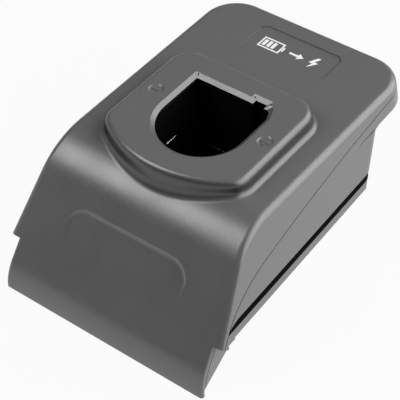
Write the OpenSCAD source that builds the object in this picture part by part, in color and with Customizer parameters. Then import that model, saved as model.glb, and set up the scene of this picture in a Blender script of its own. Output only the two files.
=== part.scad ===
// Charging head for stem-type power tool battery packs.
// It slides on to a charger base by the two side slots, and a pack's stem drops into its D-shaped well.
// Frame: X runs across, -Y is the sloping front apron, +Y the rear lip, +Z up, and Z = 0 is the table.

/* [Casing] */
// Width across the deck's top edge
deck_w = 88; // [84:0.5:94]
// Height of the deck above the table
deck_h = 56; // [54:0.5:60]
// Length from the front tip to the rear lip
body_l = 142; // [138:1:150]
// Outward lean of the side walls, in degrees
side_flare = 10; // [7:0.5:11]
// Slope of the front apron, in degrees from level
apron_slope = 56; // [54:0.5:58]
// Radius of the bend between deck and apron
bend_r = 25; // [20:0.5:28]
// Radius of the curve at the apron's foot
foot_r = 22; // [18:0.5:26]
// Rounding of the edges where top and sides meet
edge_r = 2.6; // [2:0.1:3.2]
// Rounding of the deck's rear corners, seen from above
deck_corner_r = 15; // [12:0.5:17]
// Wall thickness of both half shells
wall = 2.4; // [2:0.1:2.8]

/* [Rear lip] */
// Height of the rear lip's underside above the table
lip_z = 45.6; // [44.5:0.1:46.5]
// How far the lip overhangs the wall below it
lip_reach = 21; // [18:0.5:23]
// Forward lean of the rear wall, in degrees from upright
rear_lean = 27; // [22:0.5:30]
// Rounding of the rear wall's corners
rear_corner_r = 8; // [6:0.5:10]
// Rounding of the lip's lower edge
lip_edge_r = 1.6; // [1:0.1:2]

/* [Seam] */
// Height of the seam between the half shells at the rear
seam_rear_z = 53.05; // [52.4:0.05:53.3]
// Fall of the seam for each millimetre forwards, at the rear
seam_fall = 0.075; // [0.06:0.001:0.09]
// Extra fall of the seam for each square millimetre forwards
seam_bow = 0.0007; // [0.0006:0.00001:0.0008]
// Distance behind the front tip at which the seam starts to turn down
seam_turn = 41; // [38:0.5:46]
// Height at which the seam meets the back of the front skin
seam_join_z = 20; // [18:0.5:24]
// Thickness of the upper shell's skin over the front foot
skin = 2; // [1.8:0.1:2.3]
// Width of the reveal along the seam
seam_gap = 0.25; // [0.15:0.05:0.4]

/* [Side rails] */
// Height of the rail's underside at its rear end
rail_z = 24.3; // [23.4:0.1:25]
// Upward lean of the rails towards the rear, in degrees
rail_rise = 3; // [2.4:0.1:3.4]
// Height of the rail below the guide slot
rail_h = 3.8; // [3.6:0.1:4.2]
// Height of the guide slot
slot_h = 2.7; // [2.5:0.1:3]
// Depth of the guide slot into the side
slot_depth = 5; // [4:0.1:5.5]
// Distance of the slot's closed end behind the front tip
slot_start = 14; // [12:0.5:18]
// Distance of the rail's step in from the side wall
rail_step = 0.5; // [0.3:0.1:0.8]

/* [Front foot] */
// Half width of the front foot at the table
foot_half_w = 47.7; // [46:0.1:48]
// Narrowing of the foot on each side at the top of its height
foot_taper = 1.3; // [0.8:0.1:1.8]
// Height of the corner where the wide body ends at the apron
shoulder_z = 20.1; // [19.4:0.1:21]
// Slope of the foot's underside, in degrees
chin_slope = 29; // [27:0.5:31]
// Height of the foot's blunt tip
chin_lift = 2.2; // [1.6:0.1:3]

/* [Pad] */
// Height of the raised pad above the deck
pad_h = 7; // [6:0.1:8]
// Width of the pad
pad_w = 65; // [62:0.5:68]
// Distance of the pad's rear edge behind the well's flat side
pad_rear_margin = 11; // [9:0.5:12]
// Radius of the pad's bowed front edge
pad_front_r = 50; // [45:1:56]
// Distance of the pad's bowed edge ahead of the well's round end
pad_front_margin = 11; // [9.5:0.5:12]
// Rounding of the pad's corners
pad_corner_r = 9; // [7:0.5:11]
// Rounding of the pad's top edge
pad_edge_r = 1.5; // [1:0.1:1.8]
// Radius of the hollow fillet round the pad's foot
pad_root_r = 2; // [1.4:0.1:2.4]

/* [Battery well] */
// Radius of the well's round front and half its width
well_r = 19.4; // [19:0.1:20]
// Length of the well from its round end to its flat side
well_l = 40.8; // [39.6:0.1:41.6]
// Distance of the well's flat side ahead of the rear lip
well_from_rear = 55.1; // [54.2:0.1:56]
// Depth of the shell's collar round the mouth
collar_h = 3.8; // [3.4:0.1:4.4]
// Width of the keyway in the flat side
key_w = 8.4; // [7.4:0.1:9.2]
// Distance of the keyway's middle from the centre line
key_x = 12.2; // [11.4:0.1:12.6]
// Depth of the keyway
key_d = 2.1; // [1.8:0.1:2.6]
// Length of the guide rib beside the keyway
key_rib_l = 3.4; // [2.4:0.1:4]
// Width of the guide rib at its root
key_rib_w = 1.8; // [1.4:0.1:2]
// Wall of the well's liner
liner_wall = 1.8; // [1.5:0.1:2]
// Gap all round between the collar's bore and the wider bore of the liner
liner_step = 0.4; // [0.3:0.1:0.5]
// Height of the liner's floor above the table
liner_floor_z = 8.6; // [8.4:0.1:9]
// Thickness of the liner's floor
liner_floor_t = 1.8; // [1.5:0.1:2]

/* [Label panel] */
// Width of the sunk label panel
label_w = 38.6; // [34:0.2:41]
// Length of the sunk label panel
label_l = 18; // [15:0.5:19]
// Depth of the sunk label panel
label_d = 0.5; // [0.3:0.05:0.8]
// Length of the panel's cut-off corners
label_corner = 2.2; // [1.5:0.1:3]
// Distance of the panel's middle ahead of the rear lip
label_from_rear = 17.8; // [17:0.1:19]

/* [Apron] */
// Width of the shallow arch sunk in the apron
arch_w = 57; // [50:1:62]
// Height of the arch's top edge above the table
arch_z = 39.2; // [38:0.1:41]
// Depth of the arch at its top edge
arch_d = 0.8; // [0.5:0.05:1]
// Length over which the arch fades out down the apron
arch_l = 20; // [17:0.5:23]
// Rounding of the arch's top corners
arch_r = 9; // [6:0.5:11]

/* [Belly] */
// Half width of the belly that holds the well
belly_half_w = 28; // [27.2:0.1:30]
// Distance of the belly's front wall ahead of the well's round end
belly_front = 22; // [19:0.5:24]
// Distance of the belly's rear wall behind the well's flat side
belly_rear = 8; // [7:0.1:9]
// Rounding of the belly's corners
belly_corner_r = 6; // [4:0.5:7]

/* [Contacts] */
// Width of a contact strip
strip_w = 6.3; // [5:0.1:7]
// Thickness of a contact strip
strip_t = 0.6; // [0.5:0.05:0.7]
// Height of the contact strips' tips above the table
strip_top_z = 42; // [38:0.5:46]
// Gap between a strip at rest and the liner's wall
strip_gap = 2; // [1.9:0.1:2.4]
// Length of a strip's foot in the contact block
strip_foot = 6; // [5:0.5:7]
// How far the strips bow in towards the stem
strip_bow = 1.2; // [0.8:0.1:1.6]
// Clearance round a strip's foot, in which it rocks
foot_clear = 0.65; // [0.6:0.05:0.8]

/* [Electronics] */
// Width of the circuit board
board_w = 72; // [66:1:74]
// Length of the circuit board
board_l = 14; // [12:0.5:14.5]
// Thickness of the circuit board
board_t = 1.6; // [1.4:0.1:2]
// Height of the circuit board's underside above the table
board_z = 33; // [32:0.5:34]
// Diameter of the filter capacitor
cap_d = 8; // [6.3:0.1:9]
// Length of the filter capacitor
cap_l = 12; // [9:0.5:14]
// Diameter of the fuse
fuse_d = 5; // [4:0.1:5.2]
// Length of the fuse
fuse_l = 20; // [18:0.5:22]

/* [Base plug] */
// Width of the plug that meets the charger base
plug_w = 34; // [30:0.5:38]
// Height of the plug
plug_h = 10; // [9:0.1:10.5]
// How far the plug reaches behind the rear wall at its middle
plug_reach = 13; // [11:0.5:14]
// Number of blades in the plug
blade_n = 4; // [3:1:5]
// Width of a blade
blade_w = 4.8; // [4:0.1:5.2]
// Thickness of a blade
blade_t = 0.8; // [0.6:0.05:1]

/* [Screws] */
// Diameter of the case screws' shank
screw_d = 3; // [2.6:0.1:3.2]
// Diameter of the case screws' head
screw_head_d = 5.6; // [5:0.1:6]
// Height of the case screws' head
screw_head_h = 2.2; // [1.8:0.1:2.4]
// Diameter of the small screws' shank
small_screw_d = 2.2; // [2:0.1:2.4]
// Diameter of the small screws' head
small_head_d = 4; // [3.6:0.1:4.4]
// Height of the small screws' head
small_head_h = 1.4; // [1.2:0.1:1.6]

/* [Hidden] */

// Margins
fit = 0.1;    // clearance between seated pieces
bite = 0.05;  // clearance of a screw in its hole
over = 1;     // how far a cutter runs past what it cuts
round_fn = 32;

// Front and rear ends, and the front profile: foot arc, straight apron, bend, deck
front_y = -body_l / 2;
rear_y = body_l / 2;
foot_y = front_y + foot_r;
apron_tan = tan(apron_slope);

function foot_top_y(d) = foot_y - (foot_r - d) * sin(apron_slope);
function foot_top_z(d) = (foot_r - d) * cos(apron_slope);
function apron_y(z, d) = foot_top_y(d) + (z - foot_top_z(d)) / apron_tan;
function bend_end_z(d) = deck_h - bend_r + (bend_r - d) * cos(apron_slope);
bend_y = apron_y(bend_end_z(0), 0) + bend_r * sin(apron_slope);

// Front surface at height z, moved inwards by d
function front_at(z, d) =
    z >= bend_end_z(d) ? bend_y - sqrt(max(0, pow(bend_r - d, 2) - pow(z - deck_h + bend_r, 2)))
    : z >= foot_top_z(d) ? apron_y(z, d)
    : foot_y - sqrt(pow(foot_r - d, 2) - z * z);

function half_w(z) = deck_w / 2 + (deck_h - z) * tan(side_flare);
wall_y = rear_y - lip_reach;
function rear_wall_at(z) = wall_y - (lip_z - z) * tan(rear_lean);
function rail_at(y) = rail_z + (y - rear_wall_at(rail_z)) * tan(rail_rise);
slot_z = rail_z + rail_h;
function slot_at(y) = rail_at(y) + rail_h;

// Seam curve at the side, before it turns down along the apron
function seam_at(y) = seam_rear_z - seam_fall * (rear_y - y) - seam_bow * pow(rear_y - y, 2);

// Well
well_rear_y = rear_y - well_from_rear;
well_front_y = well_rear_y - well_l;
well_y = well_front_y + well_r;
pad_top_z = deck_h + pad_h;
collar_z = pad_top_z - collar_h;
liner_r = well_r + liner_step;
liner_out_r = liner_r + liner_wall;
liner_rear_y = well_rear_y + liner_step;
pad_rear_y = well_rear_y + pad_rear_margin;
pad_front_y = well_front_y - pad_front_margin;

// Belly
belly_y0 = well_front_y - belly_front;
belly_y1 = well_rear_y + belly_rear;
inner_floor_z = slot_z - 2;
side_rib_x = half_w(slot_z) - slot_depth - wall;

// Contacts
strip_x = liner_r - strip_gap;
strip_y = well_y + 2.8;
strip_z = wall + 2.2;
block_top_z = liner_floor_z - liner_floor_t;
sensor_x = -8;
sensor_y = liner_rear_y - strip_gap;
sensor_top_z = strip_top_z - 12;
lead_r = 1;
lead_x = strip_x + 2.3;
lead_y = (well_rear_y + liner_step + liner_wall + belly_y1 - wall) / 2;

// Board
board_y = well_rear_y + key_d + liner_step + liner_wall + 1.6;
board_top_z = board_z + board_t;
blade_z = board_top_z + fit;
plug_z = blade_z + blade_w / 2;
blade_pitch = (plug_w - 4) / blade_n;

// Screw places
case_x = side_rib_x - 4.2;
case_ys = [well_front_y - 6, well_rear_y - 5];
case_seat_z = inner_floor_z + 2.4;
case_split_z = seam_at(case_ys[0]) - 2.4;
lip_x = 30;
lip_y = rear_y - 10;
ear_x = 13;
ear_y = well_y - sqrt(pow(liner_out_r, 2) - pow(ear_x, 2)) - 3.2;
board_xs = board_w / 2 - 3.5;
board_ys = board_y + board_l / 2;

// ---------------------------------------------------------------- shared shapes

module mirrored_x() {
    children();
    mirror([1, 0, 0])
        children();
}

// Horizontal ring of the casing at height z, moved inwards by d.
// rear and corner give its rear edge, and pull draws the rear part in for the lip's lower rounding.
function half_ring(z, d, rear, corner, pull) =
    let (
        r = max(edge_r - d, 0.6),
        drop = max(0.02, min(r, deck_h - d - z)),
        turn = acos(1 - drop / r),
        w = half_w(z) - d,
        shrink = r * (1 - sin(turn)),
        c = corner - d
    )
    concat(
        [for (i = [0 : 5])
            let (a = turn * i / 5)
            [w - r + r * sin(a), front_at(min(z + r * (1 - cos(a)), deck_h - d), d), z]],
        [[w - shrink, min(wall_y, rear) - c, z]],
        [for (j = [0 : 7])
            let (a = 90 * j / 7, k = c - shrink - pull)
            [w - c + k * cos(a), rear - d - c + k * sin(a), z]]
    );

function ring(z, d, rear, corner, pull) =
    let (h = half_ring(z, d, rear, corner, pull), n = len(h))
    concat(h, [for (i = [n - 1 : -1 : 0]) [-h[i][0], h[i][1], h[i][2]]]);

// Convex stack: hulls each pair of neighbouring rings
module stack(rings) {
    for (i = [0 : len(rings) - 2])
        hull()
            polyhedron(
                points = concat(rings[i], rings[i + 1]),
                faces = [[for (k = [0 : 2 * len(rings[i]) - 1]) k]]
            );
}

// Heights up the bend, from low to the deck, on equal turns of the bend's arc
function bend_heights(low, d) =
    let (
        r = bend_r - d,
        start = acos(min(1, (low - deck_h + bend_r) / r))
    )
    [for (i = [0 : 10]) deck_h - bend_r + r * cos(start * (1 - i / 10))];

// The slab from the lip's underside to the deck
module upper_form(d) {
    low = lip_z + d;
    step = lip_edge_r / 3;
    edge = max(lip_edge_r - d, 0.3);
    lower = [for (i = [0 : 3]) [low + step * i, edge * (1 - sin(acos(1 - i / 3)))]];
    stack(concat(
        [for (p = lower) ring(p[0], d, rear_y, deck_corner_r, p[1])],
        [for (z = bend_heights(low + lip_edge_r + 0.4, d)) ring(z, d, rear_y, deck_corner_r, 0)]
    ));
}

// The body under the slab, with its leaning rear wall
module lower_form(d, low) {
    top = lip_z + d;
    knee = bend_end_z(d);
    heights = knee < top - 0.1 ? [low, knee, top] : [low, top];
    stack(concat(
        [for (z = heights) ring(z, d, rear_wall_at(z), rear_corner_r, 0)],
        [ring(top + 0.5, d + 0.4, rear_wall_at(top), rear_corner_r, 0)]
    ));
}

// Front foot: a wedge under the apron, narrower than the body
function foot_half(z) = foot_half_w - foot_taper * z / shoulder_z;
function chin_at(z) = max(front_y + 1.6, front_y + (z - chin_lift) / tan(chin_slope));
function foot_half_ring(z, inset) =
    let (w = foot_half(z), r = 1.2, front = front_at(z, 0) + inset, back = max(chin_at(z), front + 1.6))
    [
        [w - r, front, z],
        [w - r * 0.29, front + r * 0.29, z],
        [w, front + r, z],
        [w, back, z]
    ];
function foot_ring(z, inset) =
    let (h = foot_half_ring(z, inset), n = len(h))
    concat(h, [for (i = [n - 1 : -1 : 0]) [-h[i][0], h[i][1], h[i][2]]]);

// It stands a hair behind the apron's plane, so that no two faces fall together
module foot_form() {
    arc = [for (i = [0 : 5]) foot_r * sin((90 - apron_slope) * i / 5)];
    stack(concat(
        [for (z = concat(arc, [shoulder_z])) foot_ring(z, 0.02)],
        [foot_ring(shoulder_z + 1.5, 0.6)]
    ));
}

// Side profile of the wide body: everything above the rails and behind the shoulder
module body_profile() {
    square_off = [sin(apron_slope), -cos(apron_slope)];
    shoulder = [front_at(shoulder_z, 0), shoulder_z];
    inner = shoulder + square_off * 4.4;
    rotate([90, 0, 90])
        linear_extrude(140, center = true)
            polygon([
                shoulder,
                inner,
                [inner[0] + 0.5, rail_at(inner[0] + 0.5)],
                [rear_y + 20, rail_at(rear_y + 20)],
                [rear_y + 20, deck_h + 20],
                [front_y - 30, deck_h + 20],
                [front_y - 30, shoulder_z + (front_y - 30 - shoulder[0]) * -cos(apron_slope) / sin(apron_slope)]
            ]);
}

module belly_form(d) {
    w = belly_half_w - d;
    r = belly_corner_r - d;
    translate([0, 0, d])
        linear_extrude(slot_z - d)
            hull()
                for (x = [-w + r, w - r], y = [belly_y0 + d + r, belly_y1 - d - r])
                    translate([x, y])
                        circle(r, $fn = round_fn);
}

module outer_form() {
    intersection() {
        union() {
            upper_form(0);
            lower_form(0, rail_z - 8);
        }
        body_profile();
    }
    foot_form();
}

// Hollow inside both shells
module hollow() {
    upper_form(wall);
    difference() {
        lower_form(wall, inner_floor_z);
        mirrored_x()
            translate([side_rib_x, front_y, 0])
                cube([60, body_l, slot_at(wall_y) + slot_h + wall]);
    }
    belly_form(wall);
}

// Seam in Y and Z: the side curve from the rear, a smooth turn, then the back of the front skin
seam_line =
    let (
        y0 = front_y + seam_turn,
        z0 = seam_at(y0),
        m = seam_fall + 2 * seam_bow * (rear_y - y0),
        y1 = (z0 - m * y0 - foot_top_z(skin) + foot_top_y(skin) * apron_tan) / (apron_tan - m),
        z1 = z0 + m * (y1 - y0),
        z2 = seam_join_z,
        y2 = apron_y(z2, skin)
    )
    concat(
        [[rear_y + 20, seam_at(rear_y)]],
        [for (i = [0 : 7]) let (y = rear_y + (y0 - rear_y) * i / 8) [y, seam_at(y)]],
        [for (i = [0 : 7])
            let (t = i / 8, a = (1 - t) * (1 - t), b = 2 * t * (1 - t), c = t * t)
            [a * y0 + b * y1 + c * y2, a * z0 + b * z1 + c * z2]],
        [[y2, z2]],
        [for (i = [0 : 6]) let (z = foot_top_z(skin) * (1 - i / 6)) [front_at(z, skin), z]],
        [[front_at(0, skin), -20]]
    );

module above_seam() {
    rotate([90, 0, 90])
        linear_extrude(140, center = true)
            polygon(concat(seam_line, [[front_y - 40, -20], [front_y - 40, 90], [rear_y + 20, 90]]));
}

module below_seam() {
    translate([0, seam_gap * 0.75, -seam_gap * 0.75])
        rotate([90, 0, 90])
            linear_extrude(140, center = true)
                polygon(concat(seam_line, [[rear_y + 20, -20]]));
}

// D-shaped outline of the well, grown by g
module well_outline(g) {
    r = well_r + g;
    intersection() {
        union() {
            translate([0, well_y])
                circle(r, $fn = 64);
            translate([-r, well_y])
                square([2 * r, well_rear_y + g - well_y]);
        }
        translate([-r, well_y - r])
            square([2 * r, well_rear_y + g - well_y + r]);
    }
}

module key_outline(g) {
    translate([key_x - key_w / 2 - g, well_rear_y - 1])
        square([key_w + 2 * g, key_d + 1 + g]);
}

// Height of the deck at y, falling away over the bend
function deck_at(y) = y >= bend_y ? deck_h
    : deck_h - bend_r + sqrt(max(0, bend_r * bend_r - pow(bend_y - y, 2)));

// Raised pad: bowed front, straight sides, rounded corners; moved inwards by d.
// With f = 1 the ring follows the deck over the bend, with f = 0 it is level.
function pad_half_ring(z, d, f) =
    let (
        w = pad_w / 2,
        rear_r = pad_corner_r + 1,
        cy = pad_front_y + pad_front_r,
        cx = w - pad_corner_r,
        ccy = cy - sqrt(pow(pad_front_r - pad_corner_r, 2) - cx * cx),
        meet = atan2(ccy - cy, cx)
    )
    [for (p = concat(
        [for (i = [0 : 6]) let (a = -90 + (meet + 90) * i / 7)
            [(pad_front_r - d) * cos(a), cy + (pad_front_r - d) * sin(a)]],
        [for (i = [0 : 6]) let (a = meet * (1 - i / 6))
            [cx + (pad_corner_r - d) * cos(a), ccy + (pad_corner_r - d) * sin(a)]],
        [for (i = [0 : 6]) let (a = 90 * i / 6)
            [w - rear_r + (rear_r - d) * cos(a), pad_rear_y - rear_r + (rear_r - d) * sin(a)]]
    )) [p[0], p[1], z - f * (deck_h - deck_at(p[1]))]];
function pad_ring(z, d, f) =
    let (h = pad_half_ring(z, d, f), n = len(h))
    concat(h, [for (i = [n - 1 : -1 : 1]) [-h[i][0], h[i][1], h[i][2]]]);

module pad_form() {
    root = [for (i = [0 : 3]) let (a = 90 * i / 3)
        [deck_h + pad_root_r * (1 - cos(a)), -pad_root_r * (1 - sin(a))]];
    top = [for (i = [0 : 4]) let (a = 90 * i / 4)
        [pad_top_z - pad_edge_r * (1 - sin(a)), 0.4 + pad_edge_r * (1 - cos(a))]];
    stack(concat(
        [pad_ring(deck_h - 1, -pad_root_r, 1)],
        [for (p = root) pad_ring(p[0], p[1], 1)],
        [for (p = top) pad_ring(p[0], p[1], 0)]
    ));
}

module pad_hollow() {
    stack([pad_ring(deck_h - wall - 1, wall, 0), pad_ring(pad_top_z - wall, wall, 0)]);
}

// Collar round the mouth and the skirt that centres the liner
module collar_form() {
    translate([0, 0, collar_z])
        linear_extrude(collar_h - wall / 2)
            mouth_outline(liner_step + liner_wall + fit);
    translate([0, 0, collar_z - 3])
        linear_extrude(collar_h + 3 - wall / 2)
            difference() {
                mouth_outline(liner_step + liner_wall + fit + 1.4);
                mouth_outline(liner_step + liner_wall + fit);
            }
}

module mouth_outline(g) {
    well_outline(g);
    key_outline(g);
}

// Mouth cut through the pad, with the keyway's sloping left shoulder and the guide rib at its right
module mouth_cut() {
    left = key_x - key_w / 2;
    right = key_x + key_w / 2;
    translate([0, 0, collar_z - over])
        linear_extrude(pad_h + 4)
            difference() {
                union() {
                    mouth_outline(0);
                    polygon([
                        [left + 0.1, well_rear_y + key_d],
                        [left + 0.1, well_rear_y - 0.5],
                        [left - 0.6, well_rear_y - 0.5],
                        [left - 0.6, well_rear_y]
                    ]);
                }
                polygon([
                    [right, well_rear_y + over],
                    [right + key_rib_w * 0.35, well_rear_y - key_rib_l * 0.4],
                    [right + key_rib_w * 0.6, well_rear_y - key_rib_l],
                    [right + key_rib_w * 0.75, well_rear_y - key_rib_l],
                    [right + key_rib_w, well_rear_y - key_rib_l * 0.2],
                    [right + key_rib_w, well_rear_y + over]
                ]);
            }
}

module label_cut() {
    w = label_w / 2;
    l = label_l / 2;
    c = label_corner;
    translate([0, rear_y - label_from_rear, deck_h - label_d])
        linear_extrude(label_d + over)
            polygon([
                [-w + c, -l], [w - c, -l], [w, -l + c], [w, l - c],
                [w - c, l], [-w + c, l], [-w, l - c], [-w, -l + c]
            ]);
}

module arch_cut() {
    translate([0, apron_y(arch_z, 0), arch_z])
        rotate([apron_slope - atan(arch_d / arch_l), 0, 0])
            translate([0, 0, -arch_d])
                linear_extrude(4)
                    hull() {
                        for (x = [-1, 1])
                            translate([x * (arch_w / 2 - arch_r), -arch_r])
                                circle(arch_r, $fn = round_fn);
                        translate([-arch_w / 2, -arch_l])
                            square([arch_w, 1]);
                    }
}

// Guide slot seen from the side: it opens at the rear and tapers shut at the front
module slot_cut() {
    y0 = front_y + slot_start;
    y1 = rear_y;
    mirrored_x()
        translate([half_w(slot_z) - slot_depth, 0, 0])
            rotate([90, 0, 90])
                linear_extrude(30)
                    polygon([
                        [y0, slot_at(y0) + 0.1],
                        [y1, slot_at(y1)],
                        [y1, slot_at(y1) + slot_h * 0.9],
                        [y0 + 8, slot_at(y0 + 8) + slot_h * 1.05],
                        [y0 + 4.5, slot_at(y0 + 4.5) + slot_h * 0.95],
                        [y0 + 1.5, slot_at(y0 + 1.5) + slot_h * 0.6]
                    ]);
}

// Step along the rail: its face stands a little inside the wall above
module rail_step_cut() {
    mirrored_x()
        hull()
            for (y = [front_y + slot_start + 3, rear_y])
                let (top = slot_at(y) - 0.8, low = rail_at(y) - 2)
                translate([0, y, 0])
                    rotate([90, 0, 0])
                        linear_extrude(0.01)
                            polygon([
                                [half_w(top) - rail_step, top],
                                [half_w(top) + 4, top],
                                [half_w(low) + 4, low],
                                [half_w(low) - rail_step, low]
                            ]);
}

// Pockets in the underside beside the belly, so that the sloping floor keeps an even thickness
module floor_pockets() {
    x0 = belly_half_w + 1.6;
    x1 = side_rib_x - 0.6;
    y0 = chin_at(rail_at(front_y + 30)) + 4;
    y1 = case_ys[0] - 6;
    bays = [[y0, y1], [y1 + 12, y1 + 26], [y1 + 28, case_ys[1] - 6]];
    mirrored_x()
        for (b = bays)
            if (b[1] - b[0] > 2)
                translate([x0, b[0], 0])
                    cube([x1 - x0, b[1] - b[0], inner_floor_z - wall]);
}

// Hollow of the front foot, open towards the skin that covers it
module foot_hollow() {
    w = min(foot_half(shoulder_z) - wall - 1.2, side_rib_x + 0.6);
    z0 = chin_lift + wall + 3.4;
    z1 = inner_floor_z + 9;
    back = wall / sin(chin_slope);
    difference() {
        rotate([90, 0, 90])
            linear_extrude(2 * w, center = true)
                polygon([
                    [front_at(z0, skin), z0],
                    [chin_at(z0) - back + 1.6, z0],
                    [chin_at(inner_floor_z + 1) - back, inner_floor_z + 1],
                    [chin_at(inner_floor_z + 1) - back, z1],
                    [front_at(z1, skin) - 0.2, z1],
                    [foot_top_y(skin) - 0.2, foot_top_z(skin)],
                    [front_at(foot_top_z(skin) * 0.8, skin) - 0.2, foot_top_z(skin) * 0.8]
                ]);
        belly_form(0);
        for (x = [-1, 1])
            translate([x * (belly_half_w - 1) - 0.8, front_y, 0])
                cube([1.6, 40, inner_floor_z]);
        for (x = [-10, 10])
            translate([x - 0.8, front_y, 0])
                cube([1.6, belly_y0 - front_y + 1, inner_floor_z - 6]);
    }
}

// Screw with a round head and a cross recess; the head's underside lies at z = 0, the shank points up
module screw(d, length, head_d, head_h) {
    difference() {
        union() {
            translate([0, 0, -head_h])
                cylinder(head_h, d = head_d, $fn = round_fn);
            translate([0, 0, -0.01])
                cylinder(length + 0.01, d = d, $fn = round_fn);
        }
        for (a = [0, 90])
            rotate(a)
                translate([-head_d * 0.3, -0.35, -head_h - over])
                    cube([head_d * 0.6, 0.7, head_h * 0.6 + over]);
    }
}

// ---------------------------------------------------------------- casing

module upper_shell() {
    color("#4b4d50")
        difference() {
            union() {
                intersection() {
                    difference() {
                        union() {
                            outer_form();
                            pad_form();
                        }
                        hollow();
                        pad_hollow();
                    }
                    above_seam();
                }
                collar_form();
                // Bosses for the case screws and lip screws
                mirrored_x() {
                    for (y = case_ys)
                        translate([case_x, y, case_split_z + fit])
                            cylinder(deck_h - wall - case_split_z, r = screw_d / 2 + 2, $fn = round_fn);
                    translate([lip_x, lip_y, lip_z + wall + fit])
                        cylinder(deck_h - wall / 2 - lip_z - wall - fit, r = small_screw_d / 2 + 1.8, $fn = round_fn);
                }
                // Gussets between the pad's side wall and the screw bosses
                mirrored_x()
                    for (y = case_ys)
                        translate([pad_w / 2 - wall - 0.6, y - 0.8, deck_h - wall - 5])
                            cube([case_x - pad_w / 2 + wall, 1.6, 6]);
            }
            mouth_cut();
            translate([0, 0, collar_z - 20])
                linear_extrude(20)
                    mouth_outline(liner_step + liner_wall + fit);
            label_cut();
            arch_cut();
            mirrored_x() {
                for (y = case_ys)
                    translate([case_x, y, case_split_z - over])
                        cylinder(10 + over, r = screw_d / 2 + bite, $fn = round_fn);
                translate([lip_x, lip_y, lip_z])
                    cylinder(deck_h - wall - lip_z + 0.6, r = small_screw_d / 2 + bite, $fn = round_fn);
            }
        }
}

// Locating tabs: fused to the wall below the seam, standing free inside the upper shell above it
module locating_tabs() {
    mirrored_x()
        for (y = [case_ys[0] + 8, well_y, board_y + 4, rear_y - deck_corner_r - 4.5])
            let (
                low = seam_at(y) - 5,
                split = seam_at(y - 4) - 0.4,
                top = min(seam_at(y) + 1.6, deck_h - wall - fit)
            )
            translate([0, y + 4, 0])
                rotate([90, 0, 0])
                    linear_extrude(8)
                        polygon([
                            [half_w(low) - wall - 1.3, low],
                            [half_w(low) - wall / 2, low],
                            [half_w(split) - wall / 2, split],
                            [half_w(split) - wall - fit, split],
                            [half_w(top) - wall - fit, top],
                            [half_w(top) - wall - 1.3, top]
                        ]);
}

module lower_shell() {
    color("#4b4d50")
        difference() {
            union() {
                difference() {
                    intersection() {
                        union() {
                            outer_form();
                            belly_form(0);
                        }
                        below_seam();
                    }
                    hollow();
                    foot_hollow();
                    floor_pockets();
                }
                locating_tabs();
                // Columns for the case screws
                mirrored_x()
                    for (y = case_ys)
                        translate([case_x, y, rail_at(y) - 0.5])
                            cylinder(case_split_z - rail_at(y) + 0.5, r = screw_head_d / 2 + 1.5, $fn = round_fn);
                // Standoffs for the board and pillars for the liner's ears
                mirrored_x() {
                    translate([board_xs, board_ys, inner_floor_z - 1])
                        cylinder(board_z - inner_floor_z + 1 - fit / 2, r = 3.2, $fn = round_fn);
                    translate([ear_x, ear_y, wall - 1])
                        cylinder(block_top_z - wall + 1 - fit / 2, r = 3, $fn = round_fn);
                }
            }
            slot_cut();
            rail_step_cut();
            mirrored_x() {
                for (y = case_ys)
                    translate([case_x, y, 0]) {
                        cylinder(case_seat_z, r = screw_head_d / 2 + fit, $fn = round_fn);
                        cylinder(deck_h, r = screw_d / 2 + bite, $fn = round_fn);
                    }
                translate([board_xs, board_ys, inner_floor_z])
                    cylinder(20, r = small_screw_d / 2 + bite, $fn = round_fn);
                translate([ear_x, ear_y, wall])
                    cylinder(10, r = small_screw_d / 2 + bite, $fn = round_fn);
                translate([lip_x, lip_y, lip_z - over]) {
                    cylinder(small_head_h + over, r = small_head_d / 2 + fit, $fn = round_fn);
                    cylinder(8, r = small_screw_d / 2 + bite, $fn = round_fn);
                }
                // Snap notch at the rear end of each side
                translate([half_w(slot_z) - 1.6, rear_wall_at(slot_z + 4) - 3.4, slot_z + slot_h + 1.2])
                    cube([6, 2.2, 3.4]);
            }
            // Opening for the base plug
            translate([-plug_w / 2 - fit, board_y + board_l, plug_z - plug_h / 2 - fit])
                cube([plug_w + 2 * fit, 20, plug_h + 2 * fit]);
        }
}

// ---------------------------------------------------------------- battery well

module well_liner() {
    ear_r = 3.2;
    color("#161617")
        difference() {
            union() {
                translate([0, 0, block_top_z])
                    linear_extrude(collar_z - fit - block_top_z)
                        mouth_outline(liner_step + liner_wall);
                translate([0, 0, block_top_z])
                    linear_extrude(liner_floor_t)
                        for (x = [-ear_x, ear_x]) {
                            translate([x, ear_y])
                                circle(ear_r, $fn = round_fn);
                            translate([x - ear_r, ear_y])
                                square([2 * ear_r, 6]);
                        }
            }
            translate([0, 0, liner_floor_z])
                linear_extrude(collar_z)
                    mouth_outline(liner_step);
            // Ways through the floor for the three strips
            for (x = [-strip_x, strip_x])
                translate([x - strip_t / 2 - 1, strip_y - strip_w / 2 - 0.6, block_top_z - over])
                    cube([strip_t + 2, strip_w + 1.2, liner_floor_t + 2 * over]);
            translate([sensor_x - strip_w / 2 - 0.6, sensor_y - strip_t / 2 - 1, block_top_z - over])
                cube([strip_w + 1.2, strip_t + 2, liner_floor_t + 2 * over]);
            for (x = [-ear_x, ear_x])
                translate([x, ear_y, block_top_z - over])
                    cylinder(liner_floor_t + 2 * over, r = small_screw_d / 2 + bite, $fn = round_fn);
        }
}

// Pocket for a strip's foot: a low slot for the foot and an upright slot for the blade
module foot_pocket() {
    c = foot_clear;
    translate([-strip_foot - c, -strip_w / 2 - c, wall - over])
        cube([strip_foot + c + strip_t / 2 + c, strip_w + 2 * c, strip_z - wall + over + strip_t / 2 + c]);
    translate([-strip_t / 2 - c, -strip_w / 2 - c, wall - over])
        cube([strip_t + 2 * c, strip_w + 2 * c, 20]);
}

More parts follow.
